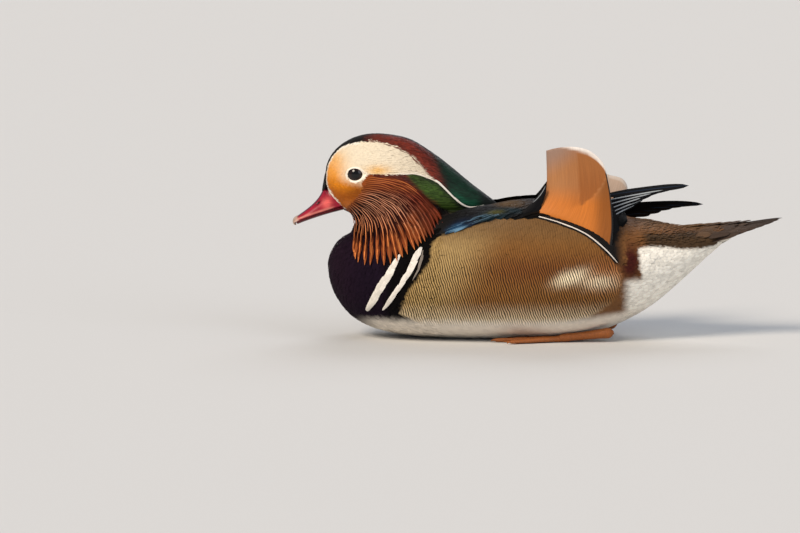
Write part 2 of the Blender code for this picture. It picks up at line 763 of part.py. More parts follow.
def make_toe(side, reach, spread, grow):
    start, way = toe_way(side, reach, spread)
    across = Vector((-way.y, way.x, 0)).normalized()
    rings = []
    for share, half, height in ((0.0, 1.6, 1.6), (0.04, 2.0, 2.4), (0.45, 1.8, 2.0), (0.86, 1.5, 1.6), (1.0, 0.3, 0.8)):
        centre = start + way * share + Vector((0, 0, height))
        rings.append((centre, across * (half + grow), Vector((0, 0, height + grow))))
    return body_ring(rings, "toe", 8, None)


def make_web(side, grow):
    outline = []
    for reach, spread in ((3.0, 60.0), (36.0, -18.0), (33.0, -7.0), (41.0, 4.0), (34.0, 14.0), (34.0, 25.0)):
        start, way = toe_way(side, reach, math.radians(spread))
        outline.append(start + way)
    points = [tuple(p + Vector((0, 0, -grow))) for p in outline]
    points += [tuple(p + Vector((0, 0, 1.1 + grow))) for p in outline]
    count = len(outline)
    faces = [tuple(range(count)), tuple(count + n for n in reversed(range(count)))]
    for n in range(count):
        m = (n + 1) % count
        faces.append((n, m, count + m, count + n))
    return solid("web", points, faces)


def make_lid(side):
    """The raised rim of the eyelids, an oval ring round the eye."""
    x, y, z = EYE_PLACE
    points, faces = [], []
    around, section = 20, 6
    for n in range(around):
        angle = 2 * math.pi * n / around
        out = Vector((math.cos(angle), 0, 0.84 * math.sin(angle)))
        sink = 0.5 * abs(math.cos(angle))
        centre = Vector((x, side * (y + 4.8 - sink), z)) + out * LID_RADIUS
        for m in range(section):
            turn = 2 * math.pi * m / section
            spread = out.normalized() * math.cos(turn) + Vector((0, side, 0)) * math.sin(turn)
            points.append(tuple(centre + spread * 1.0))
    for n in range(around):
        for m in range(section):
            a, b = n * section + m, n * section + (m + 1) % section
            c, d = ((n + 1) % around) * section + m, ((n + 1) % around) * section + (m + 1) % section
            faces.append((a, b, d, c))
    return solid("lid", points, faces)


def head_and_neck(crest_depth, neck_depth):
    """The head and neck in one piece, sunk by that much under the crest and under the hackles."""
    rows = []
    for x, low, mid, high, half in HEAD:
        sink = crest_depth * min(1.0, max(0.0, (x + 104.0) / 18.0))
        rows.append((x, min(low + sink, mid), mid, max(high - sink, mid), max(half - sink, 0.0)))
    powers = (HEAD_TOP_POWER, HEAD_LOW_POWER)
    return [
        loft("head_loft", rows, 26, 24, powers),
        loft("neck_loft", NECK, 14, 24, (NECK_POWER, NECK_POWER), -neck_depth, upright=True),
    ]


def main():
    clear_scene()
    draw = random.Random(11)
    paint = {
        "face": plumage("face", (0.80, 0.52, 0.25)),
        "crest": plumage("crest", (0.16, 0.07, 0.04), 0.45),
        "hackles": plumage("hackles", (0.45, 0.14, 0.04), 0.55),
        "trunk": plumage("trunk", (0.42, 0.27, 0.11)),
        "wing": plumage("wing", (0.05, 0.06, 0.07), 0.4),
        "sail": plumage("sail", (0.72, 0.29, 0.07), 0.6),
        "tail": plumage("tail", (0.16, 0.11, 0.07)),
        "horn": plumage("horn", (0.62, 0.05, 0.07), 0.35),
        "nail": plumage("nail", (0.66, 0.52, 0.42), 0.35),
        "eye": plumage("eye", (0.02, 0.012, 0.008), 0.05),
        "leg": plumage("leg", (0.70, 0.33, 0.07), 0.5),
    }
    torso = trunk_body("torso", material=paint["trunk"])
    floor = slab("floor", (0.0, -GAP / 2), (1, 0), 400, 60, -1)
    boolean(torso, [floor], "DIFFERENCE")

    outer = smooth_union("outer", head_and_neck(0.0, 0.0), 2.0, 2100)
    core = smooth_union("core", head_and_neck(CREST_DEPTH, NECK_DEPTH), 2.0, 1450)
    head = copy_of(outer, "head", paint["face"])
    crest = copy_of(core, "crest", paint["crest"])
    neck = copy_of(core, "neck", paint["hackles"])
    surface = surface_of([outer, trunk_body("trunk")])
    for thing in ("outer", "core", "trunk"):
        bpy.data.objects.remove(bpy.data.objects[thing], do_unlink=True)

    boolean(head, [slab("rear", *NAPE_CUT, 200, 200, -1)], "DIFFERENCE", "MANIFOLD")
    boolean(crest, crest_vanes(draw), "UNION", "MANIFOLD")
    fore = slab("fore", *NAPE_CUT, 200, 200, 1)
    low = slab("low", *CREST_CUT, 200, 200, -1)
    boolean(crest, [fore, low], "DIFFERENCE", "MANIFOLD")
    boolean(neck, neck_vanes(surface, draw), "UNION", "MANIFOLD")
    fore = slab("fore", *NAPE_CUT, 200, 200, 1)
    high = slab("high", *CREST_CUT, 200, 200, 1)
    boolean(neck, [fore, high], "DIFFERENCE", "MANIFOLD")
    for thing in (head, crest, neck):
        boolean(thing, [trunk_body("grown", GAP)], "DIFFERENCE", "MANIFOLD")

    for side, end in ((-1, "left"), (1, "right")):
        boolean(torso, [body_ring(wing_rings(side, GAP), "room", 12, None)], "DIFFERENCE")
        boolean(neck, [body_ring(wing_rings(side, GAP), "room", 12, None)], "DIFFERENCE", "MANIFOLD")
        make_wing("wing_" + end, side, draw, paint["wing"])

    eyes, sockets, lids = [], [], []
    for side, end in ((-1, "left"), (1, "right")):
        place = (EYE_PLACE[0], side * EYE_PLACE[1], EYE_PLACE[2])
        eyes.append(ellipsoid("eye_" + end, place, (EYE_RADIUS,) * 3, 8, 14, material=paint["eye"]))
        sockets.append(ellipsoid("socket", place, (EYE_RADIUS + GAP,) * 3, 8, 14))
        lids.append(make_lid(side))
    boolean(head, lids, "UNION", "MANIFOLD")
    boolean(head, sockets, "DIFFERENCE", "MANIFOLD")

    make_bill(head, paint["horn"], paint["nail"])

    for side, end in ((-1, "left"), (1, "right")):
        sail = make_sail("sail_" + end, side, paint["sail"])
        room = body_ring(wing_rings(side, COVERT_RISE), "room", 12, None)
        boolean(sail, [room, trunk_body("grown", GAP)], "DIFFERENCE")
    tail = make_tail(draw, paint["tail"])
    boolean(tail, [trunk_body("grown", GAP)], "DIFFERENCE", "MANIFOLD")
    for side in (-1, 1):
        make_leg(side, paint["leg"])
        boolean(torso, [make_leg(side, None, GAP)], "DIFFERENCE")


main()
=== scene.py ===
"""The looks of a life-size mandarin drake that rests on his belly, with his neck drawn in.

Lengths are millimetres until a mesh is made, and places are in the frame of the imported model:
the bill points along -X, +Z is up, and the bird's left side is on -Y.
"""

import math

import bpy
import numpy as np
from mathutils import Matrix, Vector
from mathutils.bvhtree import BVHTree
from mathutils.kdtree import KDTree


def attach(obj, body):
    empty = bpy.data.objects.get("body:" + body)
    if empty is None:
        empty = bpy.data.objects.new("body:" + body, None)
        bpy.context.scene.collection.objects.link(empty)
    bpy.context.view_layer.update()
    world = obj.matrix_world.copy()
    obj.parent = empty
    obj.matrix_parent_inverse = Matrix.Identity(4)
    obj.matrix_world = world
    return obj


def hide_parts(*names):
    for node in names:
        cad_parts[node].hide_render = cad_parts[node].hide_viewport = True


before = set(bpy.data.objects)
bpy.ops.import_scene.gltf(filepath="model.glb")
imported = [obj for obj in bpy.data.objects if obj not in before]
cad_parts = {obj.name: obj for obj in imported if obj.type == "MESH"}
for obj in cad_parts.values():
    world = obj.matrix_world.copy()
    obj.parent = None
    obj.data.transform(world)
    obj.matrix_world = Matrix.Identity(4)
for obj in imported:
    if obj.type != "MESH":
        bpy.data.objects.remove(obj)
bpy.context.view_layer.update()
bpy.ops.object.select_all(action="DESELECT")

MM = 0.001

# Rows of the trunk: place along the bird, lowest, widest and highest level, and half width.
TRUNK = (
    (-139.8, 46.5, 47.5, 48.5, 0.0),
    (-137.5, 35.0, 46.5, 56.0, 13.5),
    (-132.0, 23.5, 45.0, 64.0, 26.0),
    (-122.0, 12.5, 43.5, 69.5, 38.5),
    (-106.0, 5.0, 42.0, 73.5, 48.5),
    (-82.0, 0.6, 41.0, 78.0, 55.5),
    (-52.0, -0.8, 41.0, 83.0, 58.8),
    (-18.0, -1.0, 42.0, 89.0, 59.5),
    (12.0, -0.8, 44.0, 90.5, 58.2),
    (38.0, 3.5, 48.0, 87.0, 53.0),
    (58.0, 11.5, 52.0, 80.5, 45.5),
    (76.0, 22.0, 56.5, 75.5, 37.0),
    (90.0, 33.5, 60.0, 73.0, 30.0),
    (102.0, 44.5, 63.0, 71.8, 24.5),
    (112.0, 54.0, 65.5, 71.0, 20.0),
    (120.0, 61.0, 67.5, 70.5, 14.0),
    (125.0, 66.5, 68.0, 69.5, 0.0),
)
# The same for the head with its crest, from the brow to the crest's point.
HEAD = (
    (-141.5, 105.0, 106.0, 107.0, 0.0),
    (-140.2, 98.0, 105.0, 114.5, 6.0),
    (-136.0, 89.0, 103.0, 122.3, 11.0),
    (-130.0, 84.5, 102.0, 128.0, 14.5),
    (-121.0, 80.5, 101.0, 132.8, 17.3),
    (-110.0, 76.5, 99.0, 135.0, 19.5),
    (-97.0, 74.0, 98.0, 134.4, 20.5),
    (-84.0, 73.0, 97.0, 131.3, 19.8),
    (-70.0, 74.0, 96.0, 122.8, 17.5),
    (-57.0, 77.0, 94.0, 113.0, 14.5),
    (-45.0, 80.0, 92.5, 103.0, 11.5),
    (-36.0, 84.0, 91.0, 96.2, 8.0),
    (-30.0, 87.0, 90.0, 91.8, 4.5),
    (-27.0, 89.0, 89.5, 90.0, 0.0),
)
# The same for the neck, read upwards: level, foremost, widest and hindmost place, half width.
NECK = (
    (44.0, -92.0, -88.0, -84.0, 0.0),
    (50.0, -112.0, -88.0, -64.0, 24.0),
    (60.0, -121.0, -90.0, -62.0, 32.0),
    (69.0, -124.3, -91.0, -60.0, 31.0),
    (77.0, -122.0, -92.0, -60.0, 28.5),
    (86.0, -123.5, -95.0, -62.0, 25.5),
    (96.0, -123.0, -97.0, -66.0, 22.0),
    (106.0, -118.0, -98.0, -74.0, 17.0),
    (112.0, -102.0, -98.0, -92.0, 0.0),
)
# A folded wing, row by row: place, half width along the body, half thickness and roll.
WING = (
    ((-67.0, 39.0, 72.5), 0.5, 0.5, 50.0),
    ((-59.0, 35.0, 76.0), 7.5, 2.6, 44.0),
    ((-45.0, 30.5, 79.6), 11.0, 3.4, 34.0),
    ((-20.0, 23.5, 84.2), 13.0, 3.6, 21.0),
    ((5.0, 23.0, 85.4), 13.5, 3.6, 19.0),
    ((25.0, 27.0, 82.6), 17.0, 3.6, 27.0),
    ((41.0, 28.0, 79.5), 18.0, 3.2, 33.0),
    ((54.0, 22.0, 80.5), 8.0, 2.6, 38.0),
    ((60.0, 19.0, 81.5), 0.5, 0.5, 40.0),
)
# The tail's root: place, level, half width and half thickness.
TAIL_ROOT = (
    (103.0, 66.0, 9.0, 2.0),
    (108.0, 67.0, 15.0, 3.4),
    (117.0, 69.2, 17.0, 3.6),
    (128.0, 71.6, 14.0, 2.6),
    (136.0, 73.3, 8.0, 1.4),
    (142.0, 74.6, 0.5, 0.4),
)
TRUNK_POWERS = (2.4, 2.1)
HEAD_POWERS = (2.0, 2.1)
NECK_POWERS = (2.1, 2.1)
EYE_PLACE = (-119.7, 11.5, 108.9)
EYE_RADIUS = 6.5
EYE_OPENING = (5.0, 4.0)
# The pale rim's outer edge, as (degrees from the rear, reach from the eye's middle).
LID_EDGE = (
    (0.0, 9.4), (7.0, 7.7), (16.0, 6.4), (30.0, 5.8), (60.0, 5.2), (90.0, 4.9), (120.0, 5.3), (150.0, 6.2),
    (180.0, 6.7), (210.0, 6.5), (240.0, 5.7), (270.0, 5.2), (300.0, 5.1), (330.0, 5.6), (345.0, 6.6),
    (353.0, 7.9), (360.0, 9.4),
)
# Edges of the head's markings in side view, as (place, level) pairs.
BROW_TOP = (
    (-115.7, 131.8), (-110.0, 131.4), (-102.8, 129.9), (-95.5, 128.0), (-88.3, 124.7), (-83.4, 121.5),
    (-78.6, 116.7), (-74.6, 111.9), (-70.6, 107.1), (-66.5, 104.3),
)
BROW_LOW = (
    (-66.5, 103.5), (-68.9, 105.2), (-73.8, 107.3), (-79.4, 109.2), (-83.4, 109.8),
    (-89.9, 109.3), (-99.6, 109.3), (-111.6, 109.4),
)
CHEEK = (
    (-112.7, 108.9), (-117.0, 103.7), (-115.7, 99.5), (-117.8, 96.1), (-123.3, 91.0),
    (-126.3, 87.1), (-127.1, 85.0), (-129.0, 80.0),
)
WHITE_LINE = (
    (-68.5, 106.2), (-60.9, 98.9), (-55.3, 93.2), (-50.4, 89.0), (-45.6, 86.6), (-40.0, 86.9), (-35.5, 88.0),
)
GREEN_LOW = (
    (-91.0, 116.0), (-86.7, 108.7), (-81.0, 102.7), (-75.4, 97.0), (-67.3, 90.5), (-62.5, 84.0),
    (-51.2, 82.4),
)
EYE_RING = tuple(
    (EYE_PLACE[0] + reach * math.cos(math.radians(turn)), EYE_PLACE[2] + reach * math.sin(math.radians(turn)))
    for turn, reach in LID_EDGE[:-1])
# The flank's edges in side view, from its front round to its foot.
FLANK_FRONT = ((-92.0, 20.0), (-88.0, 30.0), (-85.0, 37.0), (-78.6, 46.0), (-70.8, 56.0), (-70.8, 66.0))
FLANK_TOP = (
    (-65.0, 71.0), (-57.6, 72.3), (-45.0, 76.5), (-20.0, 83.5), (-8.0, 85.0), (3.8, 81.6), (12.0, 79.2),
    (24.4, 75.0), (37.7, 67.0), (52.0, 52.7),
)
FLANK_REAR = ((54.5, 45.0), (54.0, 36.0), (48.0, 26.0), (34.0, 17.0))
FLANK_FOOT = ((0.0, 10.0), (-40.0, 8.0), (-75.0, 11.0))
# The flow of the ruff's hackles in side view, from the throat round to the nape.
HACKLE_LINES = (
    ((-127.0, 85.3), (-123.6, 81.3), (-121.8, 77.0), (-122.0, 71.0), (-122.6, 64.5), (-121.4, 57.0)),
    ((-125.5, 87.3), (-118.8, 81.5), (-116.5, 75.0), (-117.5, 67.0), (-118.5, 59.5), (-119.0, 52.0)),
    ((-124.0, 89.6), (-115.5, 85.0), (-110.5, 78.0), (-109.5, 69.0), (-109.5, 60.0), (-110.0, 51.0)),
    ((-121.8, 92.3), (-111.0, 88.5), (-103.5, 81.5), (-101.0, 72.5), (-100.0, 63.0), (-99.0, 52.0)),
    ((-119.8, 94.8), (-108.5, 91.8), (-99.5, 84.5), (-95.5, 75.0), (-92.5, 65.0), (-90.0, 54.5)),
    ((-118.0, 97.4), (-106.0, 95.2), (-95.0, 88.5), (-89.5, 80.5), (-84.5, 71.0), (-80.5, 62.0)),
    ((-117.0, 100.0), (-104.5, 98.4), (-92.5, 92.5), (-85.5, 84.0), (-80.0, 75.0), (-75.5, 66.0)),
    ((-116.3, 102.8), (-102.5, 101.3), (-90.0, 95.5), (-81.5, 87.5), (-75.5, 78.0), (-71.0, 68.5)),
    ((-115.5, 105.5), (-101.0, 104.3), (-88.5, 99.5), (-78.5, 92.0), (-71.5, 83.0), (-66.5, 73.0)),
    ((-114.0, 108.3), (-100.0, 107.3), (-88.0, 104.0), (-78.0, 97.0), (-69.5, 87.5), (-61.5, 78.0)),
)
SIDES = ((-1, "left"), (1, "right"))


def linear(hexed):
    """A colour in linear light from its sRGB hex value."""
    shares = [int(hexed[n:n + 2], 16) / 255 for n in (1, 3, 5)]
    return np.array([c / 12.92 if c <= 0.04045 else ((c + 0.055) / 1.055) ** 2.4 for c in shares])


def unit(ways):
    return ways / np.maximum(np.linalg.norm(ways, axis=-1, keepdims=True), 1e-9)


def ramp(value, low, high):
    """From 0 to 1 as the value goes from low to high, with soft ends."""
    t = np.clip((value - low) / (high - low), 0.0, 1.0)
    return t * t * (3 - 2 * t)


def smoothed(path, rounds):
    """Paths with their middle stations evened out."""
    for _ in range(rounds):
        path[:, 1:-1] = 0.5 * path[:, 1:-1] + 0.25 * (path[:, :-2] + path[:, 2:])
    return path


def rows_at(rows, spots):
    """A loft's rows at any places, read from a smooth curve through the given rows."""
    table = np.array(rows)
    place = table[:, 0]
    number = np.arange(len(rows))
    low, high = np.maximum(number - 1, 0), np.minimum(number + 1, len(rows) - 1)
    slope = (table[high] - table[low]) / (place[high] - place[low])[:, None]
    b = np.clip(np.searchsorted(place, spots), 1, len(rows) - 1)
    a = b - 1
    width = (place[b] - place[a])[:, None]
    t = np.clip((spots - place[a])[:, None] / width, 0.0, 1.0)
    bend = width * (slope[a] * t * (1 - t) ** 2 - slope[b] * t * t * (1 - t))
    return table[a] + (table[b] - table[a]) * t * t * (3 - 2 * t) + bend


def loft_arrays(rows, powers, count=70, sides=72, upright=False):
    """The points and faces of a closed body through rows of (place, low, mid, high, half width)."""
    share = 0.5 - 0.5 * np.cos(np.pi * np.arange(1, count) / count)
    share = 0.35 * np.arange(1, count) / count + 0.65 * share
    spots = rows[0][0] + share * (rows[-1][0] - rows[0][0])
    place, low, mid, high, half = rows_at(rows, spots).T[:, :, None]
    angle = 2 * np.pi * np.arange(sides) / sides
    across, up = np.cos(angle), np.sin(angle)
    power = np.where(up > 0, powers[0], powers[1])
    size = (np.abs(across) ** power + np.abs(up) ** power) ** (-1 / power)
    reach = np.where(up > 0, high - mid, mid - low)
    level = mid + np.maximum(reach, 0.1) * up * size
    wide = np.maximum(half, 0.1) * across * size
    ring = np.stack((place + 0 * wide, wide, level), axis=-1).reshape(-1, 3)
    ends = [[rows[0][0], 0.0, rows[0][2]], [rows[-1][0], 0.0, rows[-1][2]]]
    points = np.concatenate((ring, ends))
    if upright:
        points = points[:, (2, 1, 0)]
    return points, tube_faces(count - 1, sides)


def tube_faces(bands, sides):
    """The faces of a tube of rings whose last two points close its ends."""
    faces, last = [], bands * sides
    for b in range(bands - 1):
        for n in range(sides):
            m = (n + 1) % sides
            faces.append((b * sides + n, b * sides + m, (b + 1) * sides + m, (b + 1) * sides + n))
    for n in range(sides):
        m = (n + 1) % sides
        faces.append((last, m, n))
        faces.append((last + 1, last - sides + n, last - sides + m))
    return faces


def wing_ring(side, places):
    """The folded wing's middle, its half width and its half thickness at places along it."""
    table = np.array([(*place, half, thick, roll) for place, half, thick, roll in WING])
    x, y, z, half, thick, roll = (np.interp(places, table[:, 0], column) for column in table.T)
    roll = np.radians(roll)
    across = np.stack((0 * x, side * np.cos(roll), -np.sin(roll)), axis=-1) * half[..., None]
    up = np.stack((0 * x, side * np.sin(roll), np.cos(roll)), axis=-1) * thick[..., None]
    return np.stack((x, side * y, z), axis=-1), across, up


def capped(rings, middle):
    """The points and faces of a closed tube from its rings and their middles."""
    points = np.concatenate((rings.reshape(-1, 3), middle[:1], middle[-1:]))
    return points, tube_faces(len(rings), rings.shape[1])


def ringed(middle, across, up, sides):
    """The points and faces of a closed tube through oval rings."""
    angle = (2 * np.pi * np.arange(sides) / sides)[:, None]
    return capped(middle[:, None] + across[:, None] * np.cos(angle) + up[:, None] * np.sin(angle), middle)


def sheet_faces(rows, columns):
    """The faces of a thin sheet between two grids of points, closed round its rim."""
    grid = np.arange(rows * columns).reshape(rows, columns)
    faces, size = [], grid.size
    for a in grid[:-1, :-1].ravel().tolist():
        faces.append((a, a + 1, a + columns + 1, a + columns))
        faces.append((size + a, size + a + columns, size + a + columns + 1, size + a + 1))
    rim = np.concatenate((grid[0], grid[1:, -1], grid[-1, -2::-1], grid[-2:0:-1, 0])).tolist()
    for a, b in zip(rim, rim[1:] + rim[:1]):
        faces.append((a, size + a, size + b, b))
    return faces


def gathered(bodies):
    """The points and faces of several bodies as one."""
    points, faces, start = [], [], 0
    for body_points, body_faces in bodies:
        points.append(body_points)
        faces += [[start + n for n in face] for face in body_faces]
        start += len(body_points)
    return np.concatenate(points), faces


def new_object(name, mesh, material=None):
    made = bpy.data.objects.new(name, mesh)
    bpy.context.scene.collection.objects.link(made)
    if material:
        mesh.materials.append(material)
    return made


def solid(name, points, faces, material=None):
    """An object from points in millimetres, with its faces turned outwards and shaded smooth."""
    mesh = bpy.data.meshes.new(name)
    mesh.from_pydata((np.asarray(points) * MM).tolist(), [], faces)
    made = new_object(name, mesh, material)
    settle(made, outward=True)
    mesh.shade_smooth()
    return made


def painted(mesh, colours, name="tint"):
    """Gives the mesh one colour at each point."""
    colours = np.concatenate((colours, np.ones((len(colours), 1))), axis=1)
    mesh.attributes.new(name, "FLOAT_COLOR", "POINT").data.foreach_set("color", colours.ravel())


def points_of(mesh):
    flat = np.empty(len(mesh.vertices) * 3)
    mesh.vertices.foreach_get("co", flat)
    return flat.reshape(-1, 3) / MM


def move_points(mesh, points):
    mesh.vertices.foreach_set("co", (points * MM).ravel())
    mesh.update()


def settle(thing, outward=False):
    """Applies the object's modifiers, and turns its faces outwards if asked."""
    bpy.context.view_layer.objects.active = thing
    thing.select_set(True)
    for step in list(thing.modifiers):
        bpy.ops.object.modifier_apply(modifier=step.name)
    if outward:
        bpy.ops.object.mode_set(mode="EDIT")
        bpy.ops.mesh.select_all(action="SELECT")
        bpy.ops.mesh.normals_make_consistent(inside=False)
        bpy.ops.object.mode_set(mode="OBJECT")
    thing.select_set(False)
    return thing


def melted(name, bodies, voxel, rounds):
    """Closed bodies melted into one even surface."""
    made = solid(name, *gathered(bodies))
    even = made.modifiers.new("even", "REMESH")
    even.mode, even.voxel_size = "VOXEL", voxel * MM
    soften = made.modifiers.new("soften", "SMOOTH")
    soften.factor, soften.iterations = 0.5, rounds
    return settle(made)


# Seen by the turned camera, a near point shows further forward by this share of its distance sideways.
LEAD = 0.07
# And a point shows lower by this share of its distance behind the place given.
SINK, SINK_FROM = 0.0073, -91.0


def sunk(x):
    """How far below its real level a point at this place shows in side view."""
    return SINK * (x - SINK_FROM)


def side_view(x, y, z):
    """Where points show in the camera's side view, as place and level."""
    return x - LEAD * np.abs(y), z - sunk(x)


class Ground:
    """A surface that feathers are laid on, in millimetres."""

    def __init__(self, mesh):
        self.points = points_of(mesh)
        flat = np.empty(len(mesh.vertices) * 3)
        mesh.vertex_normals.foreach_get("vector", flat)
        self.point_ways = flat.reshape(-1, 3)
        corners = [list(face.vertices) for face in mesh.polygons]
        self.faces = np.array([face for face in corners if len(face) == 4])
        self.tree = BVHTree.FromPolygons(self.points.tolist(), corners)
        self.ways = unit(np.array([self.point_ways[face].mean(axis=0) for face in corners]))

    def nearest(self, points):
        """The nearest place on the surface to each point, and the way out there."""
        shape = points.shape
        hits = [self.tree.find_nearest(p) for p in points.reshape(-1, 3).tolist()]
        found = np.array([tuple(hit[0]) for hit in hits]).reshape(shape)
        return found, self.ways[[hit[2] for hit in hits]].reshape(shape)

    def from_side(self, places, side):
        """Where a ray from one side meets the surface, for (place, level) pairs."""
        found, ways = [], []
        for x, z in places:
            hit = self.tree.ray_cast(Vector((x, 200.0 * side, z)), Vector((0, -side, 0)))
            if hit[0] is None:
                hit = self.tree.find_nearest(Vector((x, 20.0 * side, z)))
            found.append(tuple(hit[0]))
            ways.append(self.ways[hit[2]])
        return np.array(found), np.array(ways)

    def seen(self, places, side):
        """Where the surface shows at (place, level) pairs that were read in the camera's side view."""
        places = np.asarray(places, float)
        found, ways = self.from_side(places, side)
        for _ in range(2):
            moved = places + np.stack((LEAD * np.abs(found[:, 1]), sunk(found[:, 0])), axis=-1)
            found, ways = self.from_side(moved, side)
        return found, ways

    def scattered(self, spacing, draw):
        """Spots spread evenly over the surface, about as far apart as spacing says."""
        corners = np.concatenate((self.faces[:, (0, 1, 2)], self.faces[:, (0, 2, 3)]))
        a, b, c = (self.points[corners[:, k]] for k in range(3))
        wanted = spacing((a + b + c) / 3)
        area = 0.5 * np.linalg.norm(np.cross(b - a, c - a), axis=1)
        weight = np.where(wanted > 0, area / np.maximum(wanted, 0.1) ** 2, 0.0)
        tries = int(5 * weight.sum())
        pick = draw.choice(len(weight), tries, p=weight / weight.sum())
        u, v = draw.random((2, tries))
        over = u + v > 1
        u, v = np.where(over, 1 - u, u)[:, None], np.where(over, 1 - v, v)[:, None]
        spots = a[pick] + (b - a)[pick] * u + (c - a)[pick] * v
        apart = spacing(spots)
        tree = KDTree(tries)
        for n, spot in enumerate(spots.tolist()):
            tree.insert(spot, n)
        tree.balance()
        free = apart > 0
        kept = []
        for n in range(tries):
            if free[n]:
                kept.append(n)
                for _, m, _ in tree.find_range(spots[n], apart[n]):
                    free[m] = False
        return self.nearest(spots[kept])


def within(rows, powers, across, up, place, grow):
    """Whether points lie inside a loft that is grown by so much."""
    row = rows_at(rows, place)
    reach = np.where(up > row[:, 2], row[:, 3] - row[:, 2], row[:, 2] - row[:, 1]) + grow
    power = np.where(up > row[:, 2], powers[0], powers[1])
    inside = (np.abs(across) / (row[:, 4] + grow)) ** power + (np.abs(up - row[:, 2]) / reach) ** power
    return (inside < 1) & (place > rows[0][0] - grow) & (place < rows[-1][0] + grow)


def line_distance(line, x, z):
    """How far points lie from a line in side view."""
    least = np.full(x.shape, 1e9)
    for (ax, az), (bx, bz) in zip(line, line[1:]):
        dx, dz = bx - ax, bz - az
        t = np.clip(((x - ax) * dx + (z - az) * dz) / (dx * dx + dz * dz), 0.0, 1.0)
        least = np.minimum(least, np.hypot(x - ax - t * dx, z - az - t * dz))
    return least


def depth_in(outline, x, z):
    """How far points lie inside a closed outline in side view, and below 0 outside it."""
    crossed = np.zeros(x.shape, bool)
    closed = (*outline, outline[0])
    for (ax, az), (bx, bz) in zip(closed, closed[1:]):
        if az != bz:
            spans = (az > z) != (bz > z)
            crossed ^= spans & (x < ax + (bx - ax) * (z - az) / (bz - az))
    return np.where(crossed, 1.0, -1.0) * line_distance(closed, x, z)


def level_of(line, x):
    table = np.array(sorted(line))
    return np.interp(x, table[:, 0], table[:, 1])


def steps_along(line):
    """How far each point of a line in side view lies along it."""
    return np.concatenate(([0.0], np.cumsum(np.hypot(*np.diff(line[:, :2], axis=0).T))))


# Colours of the plumage, named for where they are.
BLACK, CHIN_ORANGE = linear("#080607"), linear("#c4702c")
CREAM, CREAM_REAR, EDGE_CREAM = linear("#ebdec6"), linear("#dccfb8"), linear("#f5ecdc")
BROW_ORANGE, LORE_PALE = linear("#e8b465"), linear("#eda245")
LORE, LORE_DEEP, CHEEK_BROWN = linear("#d5800f"), linear("#a25205"), linear("#803f05")
MAROON, MAROON_DARK = linear("#6b2517"), linear("#40150f")
GREEN, GREEN_DARK, GREEN_SHINE = linear("#082a1c"), linear("#070f0b"), linear("#12503a")
GREEN_PATCH, GREEN_MOSS = 1.1 * linear("#2a3d10"), linear("#3c5a1c")
HACKLE_DARK, HACKLE_RED, HACKLE_TOP = linear("#180503"), linear("#4e180c"), linear("#94451f")
HACKLE_FACE, HACKLE_TIP, HACKLE_BROW = linear("#8d4512"), linear("#803d1c"), linear("#70301b")
SHAFT_PINK, SHAFT_ORANGE = linear("#c08465"), linear("#cc793e")
SHAFT_RED, SHAFT_BROW = linear("#843c28"), linear("#b96a38")
BREAST, BREAST_BROWN = linear("#180d1c"), linear("#1e0f1d")
FLANK_PALE, FLANK, FLANK_HIGH = linear("#a18556"), linear("#7e5425"), linear("#715431")
FLANK_WARM, FLANK_CINNAMON, FLANK_CREAM = linear("#70421a"), linear("#a86c3c"), linear("#e2cfae")
# On the back, the tan is a painted sheen, the olive a painted glint and the palest blue a painted highlight.
BACK, BACK_BROWN, TAN_PAINTED_SHEEN = linear("#070504"), linear("#1b110a"), linear("#493519")
BLUE, BLUE_DEEP, BLUE_PAINTED_HIGHLIGHT = linear("#153a58"), linear("#081428"), linear("#8fbfe0")
TEAL, OLIVE_PAINTED_GLINT = linear("#0a2027"), linear("#45431b")
RUMP, RUMP_PALE, SIDE_BAND = linear("#734b26"), linear("#7d5c3c"), linear("#46331f")
CHESTNUT, VENT, BELLY = linear("#3f0d05"), linear("#fffaee"), linear("#eee5d8")
TAIL_BROWN, TAIL_GREY = linear("#4b3e36"), linear("#86745e")
QUILL_DARK, QUILL_SHEEN, QUILL_EDGE = linear("#0c0c0f"), linear("#1c2736"), linear("#aab0b4")
CREST_LINE, BROW_LINE, FLANK_WHITE = linear("#f3ede4"), linear("#f4ead8"), linear("#e6dfd5")
BAR_WHITE, BAR_GREY = linear("#ece6dc"), linear("#857c73")
SAIL_CINNAMON, SAIL_TAN, SAIL_GREY = linear("#ca7426"), linear("#b2794a"), linear("#9e8070")
SAIL_WEB, SAIL_WEB_HIGH, SAIL_PALE = linear("#96551f"), linear("#a0622f"), linear("#c9b6a4")
# Painted shade on the sail: low at its rear, and along the foot of its front edge.
SAIL_PAINTED_SHADE, SAIL_FRONT_PAINTED_SHADE = linear("#83490f"), linear("#7c5238")
SAIL_BLACK, SAIL_RIM = linear("#0b0a0a"), linear("#ece5df")
# Colours of the bill.
CRIMSON, CRIMSON_TIP, CRIMSON_LOW = linear("#900f2b"), linear("#a0142f"), linear("#520914")
BILL_PALE, BILL_SEAM, BILL_LOW_SEAM = linear("#dd5f5c"), linear("#d9877a"), linear("#8f2a33")
BILL_MOUTH, BILL_RIDGE, BILL_ROOT = linear("#5a0d18"), linear("#3f1230"), linear("#43112a")
BILL_NOSTRIL, BILL_TIP = linear("#2a0509"), linear("#c9a597")

# Half width of the black stripe up the forehead, by the angle round the head's middle in side view.
STRIPE = (
    (-20.0, 6.4), (0.0, 5.7), (28.0, 4.8), (45.0, 4.8), (61.0, 5.5), (71.0, 6.6), (80.0, 7.5), (90.0, 8.3),
    (105.0, 9.4),
)
